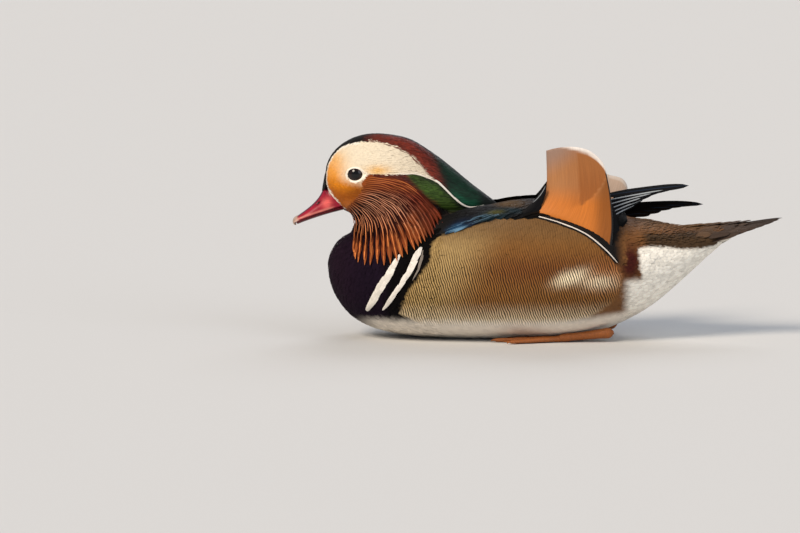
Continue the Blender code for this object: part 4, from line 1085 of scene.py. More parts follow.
PAINT = {
    # Matt bare skin under the coat, with down feathers about 2 mm across.
    "skin": grained_material(
        "down_on_skin", {"Scale": 500.0, "Detail": 3.0}, (0.65, 1.0), (0.5, 0.4), Roughness=0.9,
        Sheen_Weight=0.2),
    "velvet": vane_material("velvet_face_feather", 0.85, 0.10, 0.04, 0.10),
    "crest": vane_material("glossy_crest_feather", 0.5, 0.20, 0.12, 0.03, 0.05),
    "hackle": vane_material("stiff_hackle_feather", 0.7, 0.16, 0.10, 0.0, specular=0.10),
    "contour": vane_material("body_contour_feather", 0.75, 0.04, 0.05, 0.06),
    "breast": vane_material("matt_breast_feather", 0.9, 0.04, 0.05, 0.0, specular=0.08),
    "rump": vane_material("scaly_rump_feather", 0.75, 0.22, 0.12, 0.04),
    "scapular": vane_material("glossy_shoulder_feather", 0.6, 0.10, 0.10, 0.0, 0.03, 0.12),
    "flight": vane_material("stiff_flight_feather", 0.75, 0.04, 0.12, 0.0, specular=0.08),
    # Silky web, with uneven barbs about 0.4 mm apart that fan up from its foot.
    "sail": grained_material(
        "cinnamon_sail_web", {"Scale": 1.0, "Detail": 5.0, "Roughness": 0.65}, (0.82, 1.12), (0.3, 0.3),
        mapping={"Scale": (110.0, 2.2, 1.0)}, uv="vane", Roughness=0.55, Sheen_Weight=0.25,
        Sheen_Roughness=0.4, Specular_IOR_Level=0.3),
    # Waxy living horn, with faint growth lines along the bill.
    "bill": grained_material(
        "crimson_bill_keratin", {"Scale": 700.0, "Detail": 4.0}, (0.78, 1.15), (0.15, 0.3),
        mapping={"Rotation": (0.0, BILL_SLOPE, 0.0), "Scale": (0.25, 1.0, 1.0)}, Roughness=0.36,
        Coat_Weight=0.08, Coat_Roughness=0.25, Specular_IOR_Level=0.22),
    # Smooth pale horn, and dry skin on the lids, the legs and the webs.
    "nail": grained_material(
        "ivory_bill_nail", {"Scale": 400.0, "Detail": 4.0}, (0.76, 1.16), (0.4, 0.1), "#b09a8a",
        Roughness=0.4),
    "eye": eye_material(),
    "lid": grained_material(
        "pale_lid_skin", {"Scale": 900.0, "Detail": 4.0}, (0.94, 1.04), (0.4, 0.05), "#fbf1e0",
        Roughness=0.7),
    "leg": grained_material(
        "orange_scaly_web_skin", {"Scale": 900.0, "Detail": 4.0}, (0.76, 1.16), (0.4, 0.25), "#96531c",
        Roughness=0.6),
}

head_body = loft_arrays(HEAD, HEAD_POWERS)
neck_body = loft_arrays(NECK, NECK_POWERS, upright=True)
trunk_body = loft_arrays(TRUNK, TRUNK_POWERS, 110, 110)
wing_places = np.linspace(-66.5, 59.5, 40)
wing_bodies = [ringed(*wing_ring(side, wing_places), 24) for side, _ in SIDES]
tail_table = np.array(TAIL_ROOT).T
tail_places = np.linspace(103.0, 142.0, 24)
tail_level, tail_half, tail_thick = (np.interp(tail_places, tail_table[0], row) for row in tail_table[1:])
nothing = 0 * tail_places
tail_body = ringed(
    np.stack((tail_places, nothing, tail_level), axis=-1), np.stack((nothing, tail_half, nothing), axis=-1),
    np.stack((nothing, nothing, tail_thick), axis=-1), 24)
skin = melted("skin", [head_body, neck_body, trunk_body, *wing_bodies, tail_body], 1.4, 10)
ground = Ground(skin.data)


def crest_share(points):
    """How far the velvet of the face has grown into the crest's strands, from 0 to 1."""
    return ramp(points[:, 0], -112, -78)


def past_nape(x, z):
    """How far places lie behind the line where the face ends and the ruff begins."""
    return x + 122.5 - (z - 77.0) * 0.4628


def skin_depth(points):
    """How deep the skin lies under the outside of the coat."""
    x, y, z = points.T
    ruff = ramp(ruff_top(x) - z, -1.0, 3.0) * ramp(past_nape(x, z), -1.0, 2.0)
    head = np.maximum(0.75 + 1.5 * crest_share(points), 2.0 * ruff)
    # It runs in behind the eyeballs.
    head = np.maximum(head, 5.0 * ramp(depth_in(EYE_RING, x, z), 0.3, 1.6))
    return np.where(on_trunk(points), 1.3, head)


def sink_skin():
    """Draws the melted body in by the coat's depth, less where it is thin, and colours it."""
    depth = skin_depth(ground.points)
    for n, (point, way) in enumerate(zip(ground.points.tolist(), ground.point_ways.tolist())):
        start = Vector(point) - 0.05 * Vector(way)
        hit = ground.tree.ray_cast(start, -Vector(way), 12.0)
        if hit[0] is not None:
            depth[n] = min(depth[n], 0.36 * hit[3])
    inner = ground.points - ground.point_ways * depth[:, None]
    inner[:, 2] = np.maximum(inner[:, 2], 0.6)
    move_points(skin.data, inner)
    painted(skin.data, plumage_at(ground.points) * 0.85)
    skin.data.materials.append(PAINT["skin"])
    skin.data.shade_smooth()


def spots_in(region, spacing, seed):
    """Evenly spread roots in one region of the body, as far apart as spacing gives by place."""
    draw = np.random.default_rng(seed)
    return (*ground.scattered(lambda points: np.where(region(points), spacing(points), 0.0), draw), draw)


def off_eye(points):
    return depth_in(EYE_RING, points[:, 0], points[:, 2]) < -0.15


def on_trunk(points):
    x, y, z = points.T
    return within(TRUNK, TRUNK_POWERS, y, z, x, 1.2)


def on_head(points):
    return ~on_trunk(points) & (points[:, 0] < -26.5) & (points[:, 2] > 66)


def before_nape(points):
    return past_nape(points[:, 0], points[:, 2]) < 0


def above_ruff(points):
    return points[:, 2] > ruff_top(points[:, 0]) - 1.0


def off_bill(points):
    x, y, z = points.T
    table = np.array(BILL_EDGE[::-1])
    return x - LEAD * np.abs(y) > np.interp(z, table[:, 1], table[:, 0]) - 0.5


sink_skin()
placed(skin, ["head", "crest", "neck", "torso", "wing_left", "wing_right", "tail"])

# The places that part the face from the crest, the breast from the flanks and the flanks from the rump.
CREST_START, FLANK_START, RUMP_START = -106, -66, 50


def make_head_coat():
    """Velvet on the face that grows longer into the crest's strands, in one even coat."""
    roots, ways, draw = spots_in(
        lambda p: on_head(p) & (before_nape(p) | above_ruff(p)) & off_eye(p) & off_bill(p),
        lambda p: 0.78 + 0.25 * ramp(p[:, 0], -112, -90), 1)
    crest, on_face = crest_share(roots), roots[:, 0] < CREST_START
    for name, chosen, streaks, lines, paint, node_name, slot_name in (
            ("face_feathers", on_face, (0.9, 1.1), face_lines, "velvet", "head", "face"),
            ("crest_feathers", ~on_face, (0.6, 1.5), crest_lines, "crest", "crest", "crest")):
        length, deep = 2.8 + 11.0 * crest[chosen], 0.6 + 1.3 * crest[chosen]
        part = coat(
            roots[chosen], ways[chosen], head_flow, (length, 0.72, 0.16), LONG, (-deep, 0.0), HEAD, draw,
            vary=0.0)
        crown = 1 - ramp(part["tint"].mean(axis=-1), 0.25, 0.45)
        streak = draw.uniform(*streaks, (len(length), 1))
        pale = draw.uniform(0.95, 1.05, streak.shape)
        part["tint"] = part["tint"] * (crown * streak + (1 - crown) * pale)[..., None]
        parts = [part, *lines(np.random.default_rng(40))]
        piece(name, parts, PAINT[paint], [node_name])


def make_body_coat():
    """The breast, the flanks with the belly, and the rump, from small feathers to larger ones."""
    roots, ways, draw = spots_in(lambda p: on_trunk(p) & (p[:, 0] < FLANK_START), lambda p: 1.9, 4)
    parts = [coat(roots, ways, trunk_flow, (6.5, 1.5, 0.12), ROUND, (-0.7, 0.0), TRUNK, draw, vary=0.12)]
    for side, _ in SIDES:
        for bar in BARS:
            parts.append(edging(bar, side, (7.5, 0.9), None, BAR_WHITE, draw, 0.5, 0.55, TRUNK))
        parts.append(edging(GREY_BAR, side, (6.0, 1.0), None, BAR_GREY, draw, 0.4, 0.5, TRUNK))
    piece("breast_feathers", parts, PAINT["breast"], ["torso"])
    roots, ways, draw = spots_in(
        lambda p: on_trunk(p) & (p[:, 0] >= FLANK_START) & (p[:, 0] < RUMP_START), lambda p: 2.45, 5)
    parts = [coat(roots, ways, trunk_flow, (10.0, 2.6, 0.10), ROUND, (-0.6, 0.0), TRUNK, draw, vary=0.06)]
    for side, _ in SIDES:
        for shift, half, colour, lift in FLANK_EDGES:
            line = [(x + 0.45 * shift, z + 0.9 * shift) for x, z in FLANK_LINE]
            parts.append(edging(line, side, (14.0, 1.3), (half, half), colour, draw, lift, 0.18, TRUNK))
    piece("flank_feathers", parts, PAINT["contour"], ["torso"])
    roots, ways, draw = spots_in(lambda p: on_trunk(p) & (p[:, 0] >= RUMP_START), lambda p: 1.7, 6)
    lifted = ramp(roots[:, 2], 66, 73) * ramp(roots[:, 0], 54, 66)
    part = coat(
        roots, ways, trunk_flow, (7.0 + 3.0 * lifted, 1.25, 0.18), ROUND, (-1.0, 0.1), TRUNK, draw,
        tip_lift=2.4 * lifted)
    piece("rump_feathers", [part], PAINT["rump"], ["torso"])


def hackle_line(share):
    """A line of the ruff between the given ones, as evenly spaced (place, level) pairs."""
    table = np.array(HACKLE_LINES)
    n = min(int(share), len(table) - 2)
    line = table[n] + (table[n + 1] - table[n]) * (share - n)
    steps = steps_along(line)
    spots = np.linspace(0.0, steps[-1], LINE_SPOTS)
    return np.stack([np.interp(spots, steps, line[:, k]) for k in (0, 1)], axis=-1)


# Each tier's start and end along a line of the ruff.
HACKLE_TIERS = ((0.0, 0.42), (0.10, 0.56), (0.22, 0.72), (0.36, 0.86), (0.48, 1.0), (0.55, 0.93))
HACKLE_COUNT, HACKLE_STATIONS = 21, 10
LINE_SPOTS, LINE_SPAN = 60, len(HACKLE_LINES) - 1


def make_hackles():
    """The ruff: long narrow feathers in tiers, each with a pale shaft in a dark maroon vane."""
    draw = np.random.default_rng(7)
    paths, outs, halves, lines, tiers = [], [], [], [], []
    shares = np.linspace(0.0, 1.0, HACKLE_STATIONS + 1)
    for side, _ in SIDES:
        for n in range(HACKLE_COUNT):
            share = LINE_SPAN * (n + 0.5) / HACKLE_COUNT
            for tier, (first, last) in enumerate(HACKLE_TIERS):
                slip = draw.uniform(-0.04, 0.04) + (0.5 * LINE_SPAN / HACKLE_COUNT if tier == 1 else 0.0)
                line = hackle_line(np.clip(share + slip, 0.0, LINE_SPAN))
                end = last + draw.uniform(-0.04, 0.03)
                at = (first + (end - first) * shares) * (LINE_SPOTS - 1)
                flat = np.stack([np.interp(at, np.arange(LINE_SPOTS), line[:, k]) for k in (0, 1)], axis=-1)
                hit, way = ground.seen(flat, side)
                paths.append(hit)
                outs.append(way)
                reach = np.linalg.norm(line[0] - line[int(at[HACKLE_STATIONS // 2])])
                halves.append(0.5 + 0.036 * reach)
                lines.append(share)
                tiers.append(tier)
    path = smoothed(np.array(paths), 2)
    out = unit(smoothed(np.array(outs), 4))
    lines, tiers = np.array(lines), np.array(tiers)[:, None]
    base = np.where(tiers < 1, -0.3, -0.9)
    height = base + (1.3 - base) * shares[None] ** 0.8 + draw.uniform(-0.2, 0.25, (len(path), 1)) * shares
    wander = np.sin(shares[None] * draw.uniform(5, 9, (len(path), 1)) + draw.uniform(0, 6, (len(path), 1)))
    across = unit(np.cross(unit(np.gradient(path, axis=1)), out))
    path = path + out * height[..., None] + across * (0.26 * wander * ramp(shares, 0.0, 0.3))[..., None]
    width = np.interp(shares[:-1], (0, 0.15, 0.45, 0.7, 0.85, 0.95), (0.6, 0.9, 1.0, 0.9, 0.62, 0.3))
    half = np.array(halves)[:, None] * width
    made = feathers(path, out, half, 0.22 * half + 0.06, FULL, shares, unwrapped(HEAD, path[:, 0]))
    along, level = made["vane"][..., 1], made["points"][..., 2]
    orange, top = 1 - ramp(level, 64, 88), ramp(level, 95, 102)
    nape = ramp(lines, 5.0, 8.0)[:, None] * np.ones_like(along)
    face = (1 - ramp(along, 0.05, 0.4)) * (tiers < 1)
    shaft = layered(
        along, SHAFT_PINK, (SHAFT_ORANGE, orange), (SHAFT_RED, nape), (SHAFT_BROW, top),
        (HACKLE_FACE * 1.2, 0.5 * face))
    vane = layered(
        along, HACKLE_DARK,
        (HACKLE_RED, 0.1 + 0.6 * ramp(along, 0.5, 1.0)),
        (HACKLE_TIP, ramp(along, 0.45, 0.8) * (tiers > 2) * (1 - 0.6 * nape)),
        (HACKLE_RED, 0.3 * nape),
        (HACKLE_BROW, 0.7 * top),
        (HACKLE_FACE * 0.7, 0.6 * face))
    made["tint"] = vane * draw.uniform(0.75, 1.2, (len(path), 1, 1))
    shaft = shaft * (1.45 - 0.45 * ramp(lines, 1.0, 4.0))[:, None, None]
    made["shaft"] = shaft * draw.uniform(0.45, 1.3, (len(path), 1, 1))
    roots, ways, draw = spots_in(
        lambda p: on_head(p) & ~before_nape(p) & ~above_ruff(p), lambda p: 1.4, 3)
    under = coat(roots, ways, neck_flow, (6.0, 0.9, 0.2), ROUND, (-1.9, -0.7), HEAD, draw, whole=0.75)
    piece("ruff_hackles", [made, under], PAINT["hackle"], ["neck"])


# The sail's points up it and across it, and how far its foot reaches down between the feathers.
SAIL_U, SAIL_V, SAIL_ROOT = 44, 40, -0.12
# Edges of the near sail in side view, as (place, level): up its front and rear, along its foot and top.
SAIL_FRONT = (
    (-4.5, 84.0), (-1.0, 87.6), (2.3, 92.0), (4.4, 96.5), (5.3, 101.1), (5.6, 107.5), (5.5, 114.0),
    (5.1, 126.4),
)
SAIL_REAR = (
    (47.0, 58.5), (48.2, 66.0), (48.9, 73.5), (48.8, 81.7), (48.0, 91.5), (46.8, 100.4), (43.6, 116.0),
)
SAIL_FOOT = (
    (-4.5, 84.0), (6.0, 84.8), (16.0, 82.2), (25.5, 77.8), (34.6, 71.6), (41.2, 65.4), (47.0, 58.5),
)
SAIL_TOP = (
    (5.1, 126.4), (10.1, 128.0), (16.4, 129.2), (22.2, 129.6), (28.0, 129.0), (33.0, 127.4), (38.0, 124.0),
    (41.4, 120.3), (43.6, 116.0),
)
# The far sail leans further back.
FAR_FRONT = ((-4.5, 84.0), (0.5, 88.5), (6.0, 93.8), (11.0, 99.8), (17.0, 107.5))
FAR_REAR = ((47.0, 58.5), (51.5, 67.0), (54.5, 75.5), (57.2, 84.0), (58.0, 91.5))
FAR_TOP = (
    (17.0, 107.5), (24.0, 108.3), (32.0, 107.4), (40.0, 105.0), (46.0, 102.4), (50.5, 101.3), (54.0, 100.0),
    (56.8, 96.5), (58.0, 91.5),
)


def curve(line, t):
    """Places on a smooth line through the given ones, at shares of its length."""
    table = np.array(line)
    steps = steps_along(table)
    found = rows_at(np.column_stack((steps / steps[-1], table)), np.asarray(t).ravel())[:, 1:]
    return found.reshape(*np.shape(t), 2)


def sail_point(u, v, side, edges):
    """A point of the sail's middle surface, inside its four edges: u runs up it and v to its rear."""
    front, rear, foot, top = edges
    up = np.clip(u, 0.0, 1.0)
    flat = (1 - up)[..., None] * curve(foot, v) + up[..., None] * curve(top, v)
    flat = flat + (1 - v)[..., None] * curve(front, up) + v[..., None] * curve(rear, up)
    corners = (
        (foot[0], (1 - up) * (1 - v)), (foot[-1], (1 - up) * v), (top[0], up * (1 - v)), (top[-1], up * v))
    for corner, share in corners:
        flat = flat - np.array(corner) * share[..., None]
    lean = 32.5 + 13.0 * v * v + 4.0 * np.sin(np.pi * v) - 3.0 * np.sin(0.5 * np.pi * up) + 4.0 * up * up
    lean = lean + 2.5 * np.sin(np.pi * v) * up + (6.0 * up if side > 0 else 0.0)
    place = flat[..., 0] + (LEAD * lean if side < 0 else 0.0)
    return np.stack((place, side * lean, flat[..., 1] + sunk(place) + 40.0 * np.minimum(u, 0.0)), axis=-1)


def sail_colour(x, z, v):
    """Bright cinnamon at the foot, tan at the top, a white rim above and a black rear edge, with painted
    shade low at the rear and along the front's foot.
    """
    arc = z - np.interp(x, (10.0, 18.3, 27.6, 36.0, 42.2, 46.0), (84.0, 86.7, 90.0, 97.0, 105.4, 114.0))
    web = layered(x, SAIL_WEB, (SAIL_WEB_HIGH, ramp(z, 100, 122)))
    right = ramp(x + 0.06 * (z - 105), 26.2, 27.2) * ramp(arc, -0.4, 0.6)
    rim_low = np.interp(x, (12.0, 22.7, 32.0, 38.0, 43.0, 46.5), (129.8, 128.0, 125.4, 121.4, 115.8, 108.0))
    return layered(
        x, SAIL_CINNAMON,
        (SAIL_TAN, ramp(z, 90, 106)),
        (SAIL_GREY, ramp(z - 0.6 * (x - 12), 108, 128)),
        (web, 0.85 * right + 0.35 * ramp(x, 12, 27) * ramp(arc, -0.5, 3.0) * (1 - right)),
        # Painted shade low on the sail's rear, below the arc.
        (SAIL_PAINTED_SHADE, 0.85 * ramp(x, 32, 44) * (1 - ramp(arc, -4, 2))),
        # Painted shade along the foot of the sail's front edge.
        (SAIL_FRONT_PAINTED_SHADE, 0.5 * (1 - ramp(v, 0.0, 0.07)) * (1 - ramp(z, 96, 112))),
        (SAIL_BLACK, ramp(v, 0.957, 0.968) * (1 - ramp(z, 112, 116))),
        (SAIL_RIM, 0.95 * ramp(z - rim_low, -0.8, 0.6) * ramp(x, 9, 22)))


def make_sail(side, end):
    """The upright sail feather, a thin broad web."""
    u, v = np.meshgrid(np.linspace(SAIL_ROOT, 1.0, SAIL_U), np.linspace(0.0, 1.0, SAIL_V), indexing="ij")
    near = (SAIL_FRONT, SAIL_REAR, SAIL_FOOT, SAIL_TOP)
    here = sail_point(u, v, side, near if side < 0 else (FAR_FRONT, FAR_REAR, SAIL_FOOT, FAR_TOP))
    normal = unit(np.cross(np.gradient(here, axis=0), np.gradient(here, axis=1)))
    edge = np.clip(np.minimum(np.minimum(v, 1 - v) * 12, (1 - u) * 12), 0, 1)
    ridge = 0.12 * np.sin(v * 150.0 + 6 * np.sin(u * 3.0)) * edge
    half = 0.12 + 0.28 * edge
    sheets = (here + normal * (half + ridge)[..., None], here - normal * (half - ridge)[..., None])
    made = solid(
        "sail_web_" + end, np.concatenate(sheets).reshape(-1, 3), sheet_faces(SAIL_U, SAIL_V), PAINT["sail"])
    place, level = side_view(*np.moveaxis(sail_point(u, v, -1, near), -1, 0))
    outer = sail_colour(place, level, v)
    # The web's inner face, towards the back, is paler.
    inner = mixed(outer, SAIL_PALE, 0.75 * ramp(level, 92, 112) * (1 - ramp(v, 0.93, 0.96)))
    painted(made.data, np.concatenate((inner, outer) if side < 0 else (outer, inner)).reshape(-1, 3))
    corners = np.empty(len(made.data.loops), int)
    made.data.loops.foreach_get("vertex_index", corners)
    flat = np.tile(np.stack((v, u), axis=-1).reshape(-1, 2), (2, 1))
    made.data.uv_layers.new(name="vane").data.foreach_set("uv", flat[corners].ravel())
    placed(made, ["sail_" + end])


# A large feather's number of stations, and its width along its length as shares.
QUILL_STATIONS = 14
BLADE = ((0, 0.5), (0.1, 0.8), (0.3, 1.0), (0.75, 1.0), (0.9, 0.75), (0.97, 0.4))


def quills(specs):
    """Large feathers from (root, tip, bow, out, half width, colour, shaft colour) rows."""
    shares = np.linspace(0.0, 1.0, QUILL_STATIONS + 1)
    bow = 4 * shares * (1 - shares)
    root, tip, bend, out, half, tint, shaft = (np.array(column, float) for column in zip(*specs))
    path = root[:, None] + (tip - root)[:, None] * shares[:, None] + bend[:, None] * bow[:, None]
    outs = np.repeat(unit(out)[:, None], QUILL_STATIONS + 1, axis=1)
    halves = half[:, None] * np.interp(shares[:-1], *zip(*BLADE))
    made = feathers(path, outs, halves, 0.12 * halves + 0.15, FULL, shares, unwrapped(TRUNK, path[:, 0]))
    made["tint"] = np.broadcast_to(tint[:, None], made["points"].shape)
    made["shaft"] = np.broadcast_to(shaft[:, None], made["points"].shape)
    return made


def on_wing(side, x, across, height):
    """A point over the folded wing's upper face, and the way up from it."""
    middle, wide, up = wing_ring(side, np.array([x]))
    way = unit(unit(up) + 0.1 * across * unit(wide))[0]
    spot = middle + wide * across + up * math.sqrt(max(0.0, 1 - across * across))
    return spot[0] + way * height, way


def wing_colour(points):
    """The back's colours in side view: near black, with blue and teal gloss, a painted olive glint, painted
    tan sheen and painted pale blue highlights.
    """
    x, z = side_view(*np.moveaxis(points, -1, 0))

    def patch(place, level, long, high, turn=0.0):
        """How strongly a patch of gloss shows, fading quickly at its edge."""
        dx, dz = x - place, z - level - turn * (x - place)
        return np.exp(-((dx / long) ** 2 + (dz / high) ** 2) ** 1.5)

    return layered(
        x, BACK,
        (BACK_BROWN, 0.9 * ramp(x, -34, -16) * ramp(z, 83, 87)),
        (BLUE_DEEP, 1.3 * patch(-50.0, 77.0, 9.5, 4.2, 0.25)),
        (TEAL, patch(-30.0, 82.8, 11.0, 3.2, 0.15)),
        (TEAL, 0.9 * patch(-17.5, 87.0, 9.0, 2.0, -0.1)),
        # A painted olive glint.
        (OLIVE_PAINTED_GLINT, 0.8 * patch(-28.0, 85.3, 6.0, 1.3, 0.1)),
        # A painted tan sheen, in two spots.
        (TAN_PAINTED_SHEEN, patch(-19.0, 90.2, 11.0, 2.0, 0.02)),
        (TAN_PAINTED_SHEEN, 0.6 * patch(-15.0, 95.0, 6.0, 1.0, 0.05)),
        (BLUE, 1.4 * patch(-54.5, 74.6, 6.0, 3.2, 0.3)),
        # A painted pale blue highlight.
        (BLUE_PAINTED_HIGHLIGHT, 0.6 * patch(-53.0, 74.6, 5.0, 1.3, 0.35)))


# The primaries in side view: each blade's root, tip and half width, and the near side's pale edges.
NEAR_BLADES = (
    ((44.0, 95.0), (100.0, 100.9), 2.1), ((46.0, 91.2), (91.6, 99.8), 1.8), ((47.0, 88.7), (83.5, 98.2), 1.7),
    ((48.0, 86.2), (76.5, 95.7), 1.6), ((49.0, 83.9), (70.2, 92.6), 1.6), ((50.0, 81.8), (64.8, 89.2), 1.4),
)
NEAR_EDGES = (
    ((47.0, 92.7), (91.6, 99.3)), ((47.8, 90.0), (83.0, 97.6)), ((48.6, 87.4), (76.0, 95.3)),
    ((49.4, 84.8), (69.7, 92.1)), ((50.2, 82.4), (64.4, 88.7)),
)
FAR_BLADES = (
    ((46.0, 83.4), (109.2, 86.9), 2.1), ((46.0, 82.2), (104.0, 86.6), 2.2), ((46.0, 80.8), (97.0, 85.8), 2.3),
    ((48.0, 79.0), (89.0, 84.2), 2.4), ((48.0, 77.4), (81.0, 81.8), 2.4), ((48.0, 76.0), (74.0, 79.6), 2.4),
)
# The lowest shoulder feathers, whose tips lie over the flank's top edge.
SHOULDER_LINES = (
    ((-62.0, 74.5), (-54.0, 77.0), (-43.0, 80.5), (-30.0, 84.0)),
    ((-63.0, 71.8), (-54.0, 74.4), (-43.0, 78.2), (-30.0, 82.0), (-15.0, 85.8)),
)


def make_wing(side, end):
    """The folded wing: scapulars and coverts in tiers, then the dark vanes by the sail and the primaries."""
    draw = np.random.default_rng(20 if side < 0 else 21)
    shares = np.linspace(0.0, 1.0, 9)
    path, outs, halves = [], [], []
    count = 7
    for row, start in enumerate(np.arange(-67.0, 36.0, 4.4)):
        for n in range(count):
            across = 2 * (n + 0.5 * (row % 2) + 0.25) / count - 1
            if abs(across) > 0.98:
                continue
            slip = draw.uniform(-1.5, 1.5)
            length = 17.0 + 0.12 * (start + 66.0)
            line, ways = [], []
            for share in shares:
                place = start + slip + length * share
                swell = 2.0 * max(0.0, 1 - ((place + 4.0) / 22.0) ** 2)
                spot, way = on_wing(side, place, across, -1.6 + 2.4 * share ** 0.8)
                line.append(spot + way * swell * max(way[2], 0.0) ** 2)
                ways.append(way)
            path.append(line)
            outs.append(ways)
            halves.append(3.0 + 0.014 * (start + 66.0))
    path, outs = smoothed(np.array(path), 2), np.array(outs)
    half = np.array(halves)[:, None] * np.interp(shares[:-1], (0, 0.3, 0.65, 0.88), (0.5, 1.0, 0.9, 0.55))
    cover = feathers(path, outs, half, 0.07 * half + 0.06, FULL, shares, unwrapped(TRUNK, path[:, 0]))
    cover["tint"] = wing_colour(cover["points"]) * draw.uniform(0.75, 1.25, (len(path), 1, 1))
    cover["shaft"] = cover["tint"] * 1.25
    low = []
    for line in SHOULDER_LINES:
        row = edging(line, side, (11.0, 1.5), (1.5, 1.3), BLUE, draw, 0.9, 0.7, TRUNK)
        row["tint"] = wing_colour(row["points"]) * draw.uniform(0.7, 1.3, (len(row["points"]), 1, 1))
        # The shafts get a painted pale blue highlight.
        row["shaft"] = mixed(row["tint"], BLUE_PAINTED_HIGHLIGHT, 0.35 * draw.uniform(0, 1, (len(row["points"]), 1)))
        low.append(row)
    blades, edges = (NEAR_BLADES, NEAR_EDGES) if side < 0 else (FAR_BLADES, ())
    specs = []
    for n, ((x, z), (tip_x, tip_z), half_width) in enumerate(blades):
        root = (x + 1.3, side * (19.0 + 0.5 * n), z + sunk(x))
        tip = (tip_x + 0.6, side * (8.0 + 1.3 * n), tip_z + sunk(tip_x))
        bend = (0.0, 0.0, 0.6 if side < 0 else 1.4)
        specs.append((root, tip, bend, (0, side * 0.8, 0.6), 1.25 * half_width, QUILL_DARK, QUILL_SHEEN))
    for n, ((x, z), (tip_x, tip_z)) in enumerate(edges):
        root = (x + 1.4, side * (21.0 + 0.5 * n), z + sunk(x))
        tip = (tip_x + 0.7, side * (10.4 + 1.3 * n), tip_z + sunk(tip_x))
        specs.append((root, tip, (0.0, 0.0, 0.35), (0, side, 0.3), 0.42, QUILL_EDGE, QUILL_EDGE))
    # Dark vanes stand behind the sail and before it, with one fine pale edge.
    for n in range(5):
        root = (48.3 + 0.7 * n, side * (39.0 - 1.2 * n), 57.5 + 1.4 * n)
        tip = (50.0 + 0.5 * n, side * (36.0 - 1.5 * n), 93.0 - 5.0 * n)
        specs.append((root, tip, (2.0 + 0.4 * n, 0, 0), (0.1, side, 0), 2.6, QUILL_DARK, QUILL_SHEEN * 1.2))
    for n in range(4):
        root = (-11.0 + 1.5 * n, side * (33.5 - 0.3 * n), 83.5)
        tip = (7.4 - 1.8 * n, side * (34.2 - 0.6 * n), 103.0 - 5.4 * n)
        specs.append((root, tip, (1.5, 0, -2.0), (0, side, 0.1), 2.1, QUILL_DARK, QUILL_DARK))
    specs.append((
        (-1.2, side * 35.8, 93.0), (7.3, side * 36.0, 104.4), (0.6, 0, -0.8), (0, side, 0.1), 0.26,
        QUILL_EDGE * 0.7, QUILL_EDGE * 0.7))
    piece("wing_feathers_" + end, [cover, *low, quills(specs)], PAINT["scapular"], ["wing_" + end])


# One side's tail feathers from the middle out: the tip's place along, across and up.
TAIL_TIPS = (
    (162.4, 1.6, 80.7), (160.3, 4.4, 79.6), (156.8, 7.2, 78.4), (152.2, 10.2, 77.2),
    (147.0, 13.0, 75.9), (141.0, 15.6, 74.4), (135.0, 18.0, 72.6),
)


def make_tail():
    """Fourteen tail feathers stepped down from the middle, with coverts above and below."""
    draw = np.random.default_rng(30)
    specs = []
    for side, _ in SIDES:
        for n, (x, y, z) in enumerate(TAIL_TIPS):
            step = 0.45 if side > 0 else 0.0
            root = (110.0, side * (1.6 + 1.9 * n), 72.4 - 1.15 * n - step)
            specs.append((
                root, (x, side * y, z - step), (0, 0, 0), (0, side * (0.12 + 0.09 * n), 1), 3.7,
                TAIL_BROWN * draw.uniform(0.8, 1.0) * (1.0 - 0.06 * (6 - n)), TAIL_BROWN * 0.5))
        for row in range(7):
            for n in range(5):
                across = side * (1.4 + 3.7 * n + 1.6 * (row % 2))
                root = (84.0 + 6.0 * row, across, 71.8 + 0.15 * row - 0.9 * n)
                tip = (104.0 + 6.3 * row - 1.8 * n, 0.95 * across, 75.4 + 0.55 * row - 1.55 * n)
                tone = mixed(RUMP_PALE * 0.7, TAIL_BROWN, min(1.0, 0.2 * row)) * draw.uniform(0.8, 1.2)
                specs.append((root, tip, (0, 0, 0.6), (0, side * 0.2 * n, 1), 2.7, tone, tone * 0.75))
        for row in range(5):
            for n in range(4):
                root = (92.0 + 6.0 * row, side * (1.5 + 3.6 * n), 42.0 + 5.4 * row + 2.2 * n)
                tip = (110.0 + 6.3 * row, side * (1.5 + 3.4 * n), 56.2 + 3.7 * row + 0.5 * n)
                tone = mixed(VENT, TAIL_GREY, 0.12 * row)
                specs.append((root, tip, (0, 0, -0.5), (0, side * 0.25 * n, -1), 3.0, tone, VENT))
    piece("tail_feathers", [quills(specs)], PAINT["flight"], ["tail"])


def bill_tone(points, is_upper):
    """Crimson with a dark culmen, a paler patch near the face, a pale seam by the mouth, dark nostrils."""
    c, s = math.cos(BILL_SLOPE), math.sin(BILL_SLOPE)
    dx, dz = BILL_BASE[0] - points[:, 0], BILL_BASE[1] - points[:, 2]
    along, up = dx * c + dz * s, dx * s - dz * c
    rise = up - mouth_line(along)
    tone = layered(along, CRIMSON, (CRIMSON_TIP, ramp(along, 4, 20)))
    if not is_upper:
        return layered(along, tone, (CRIMSON_LOW, 0.9), (BILL_LOW_SEAM, 0.6 * ramp(rise, -1.2, -0.4)))
    ridge = ramp(up - culmen_line(along), -1.7, -0.5) * (1 - ramp(np.abs(points[:, 1]), 2.6, 4.2))
    slit = blob(along, up + 0.12 * (along - NOSTRIL_PLACE[0]), *NOSTRIL_PLACE, 1.6, 0.6)
    return layered(
        along, tone,
        (BILL_PALE, 1.3 * blob(along, up, 4.6, 0.2, 3.4, 3.2)),
        (BILL_SEAM, 0.8 * np.exp(-((rise - 1.3) / 0.7) ** 2) * ramp(along, 0, 5)),
        (BILL_MOUTH, 0.75 * np.exp(-((rise - 0.2) / 0.45) ** 2)),
        (BILL_RIDGE, 0.85 * ridge),
        (BILL_NOSTRIL, 1.6 * slit),
        (BILL_TIP, ramp(along, 25.5, 28.5)),
        (BILL_ROOT, 0.6 * (1 - ramp(along + 0.55 * up, 4.6, 6.4)) * ramp(up, 4.5, 8.0)))


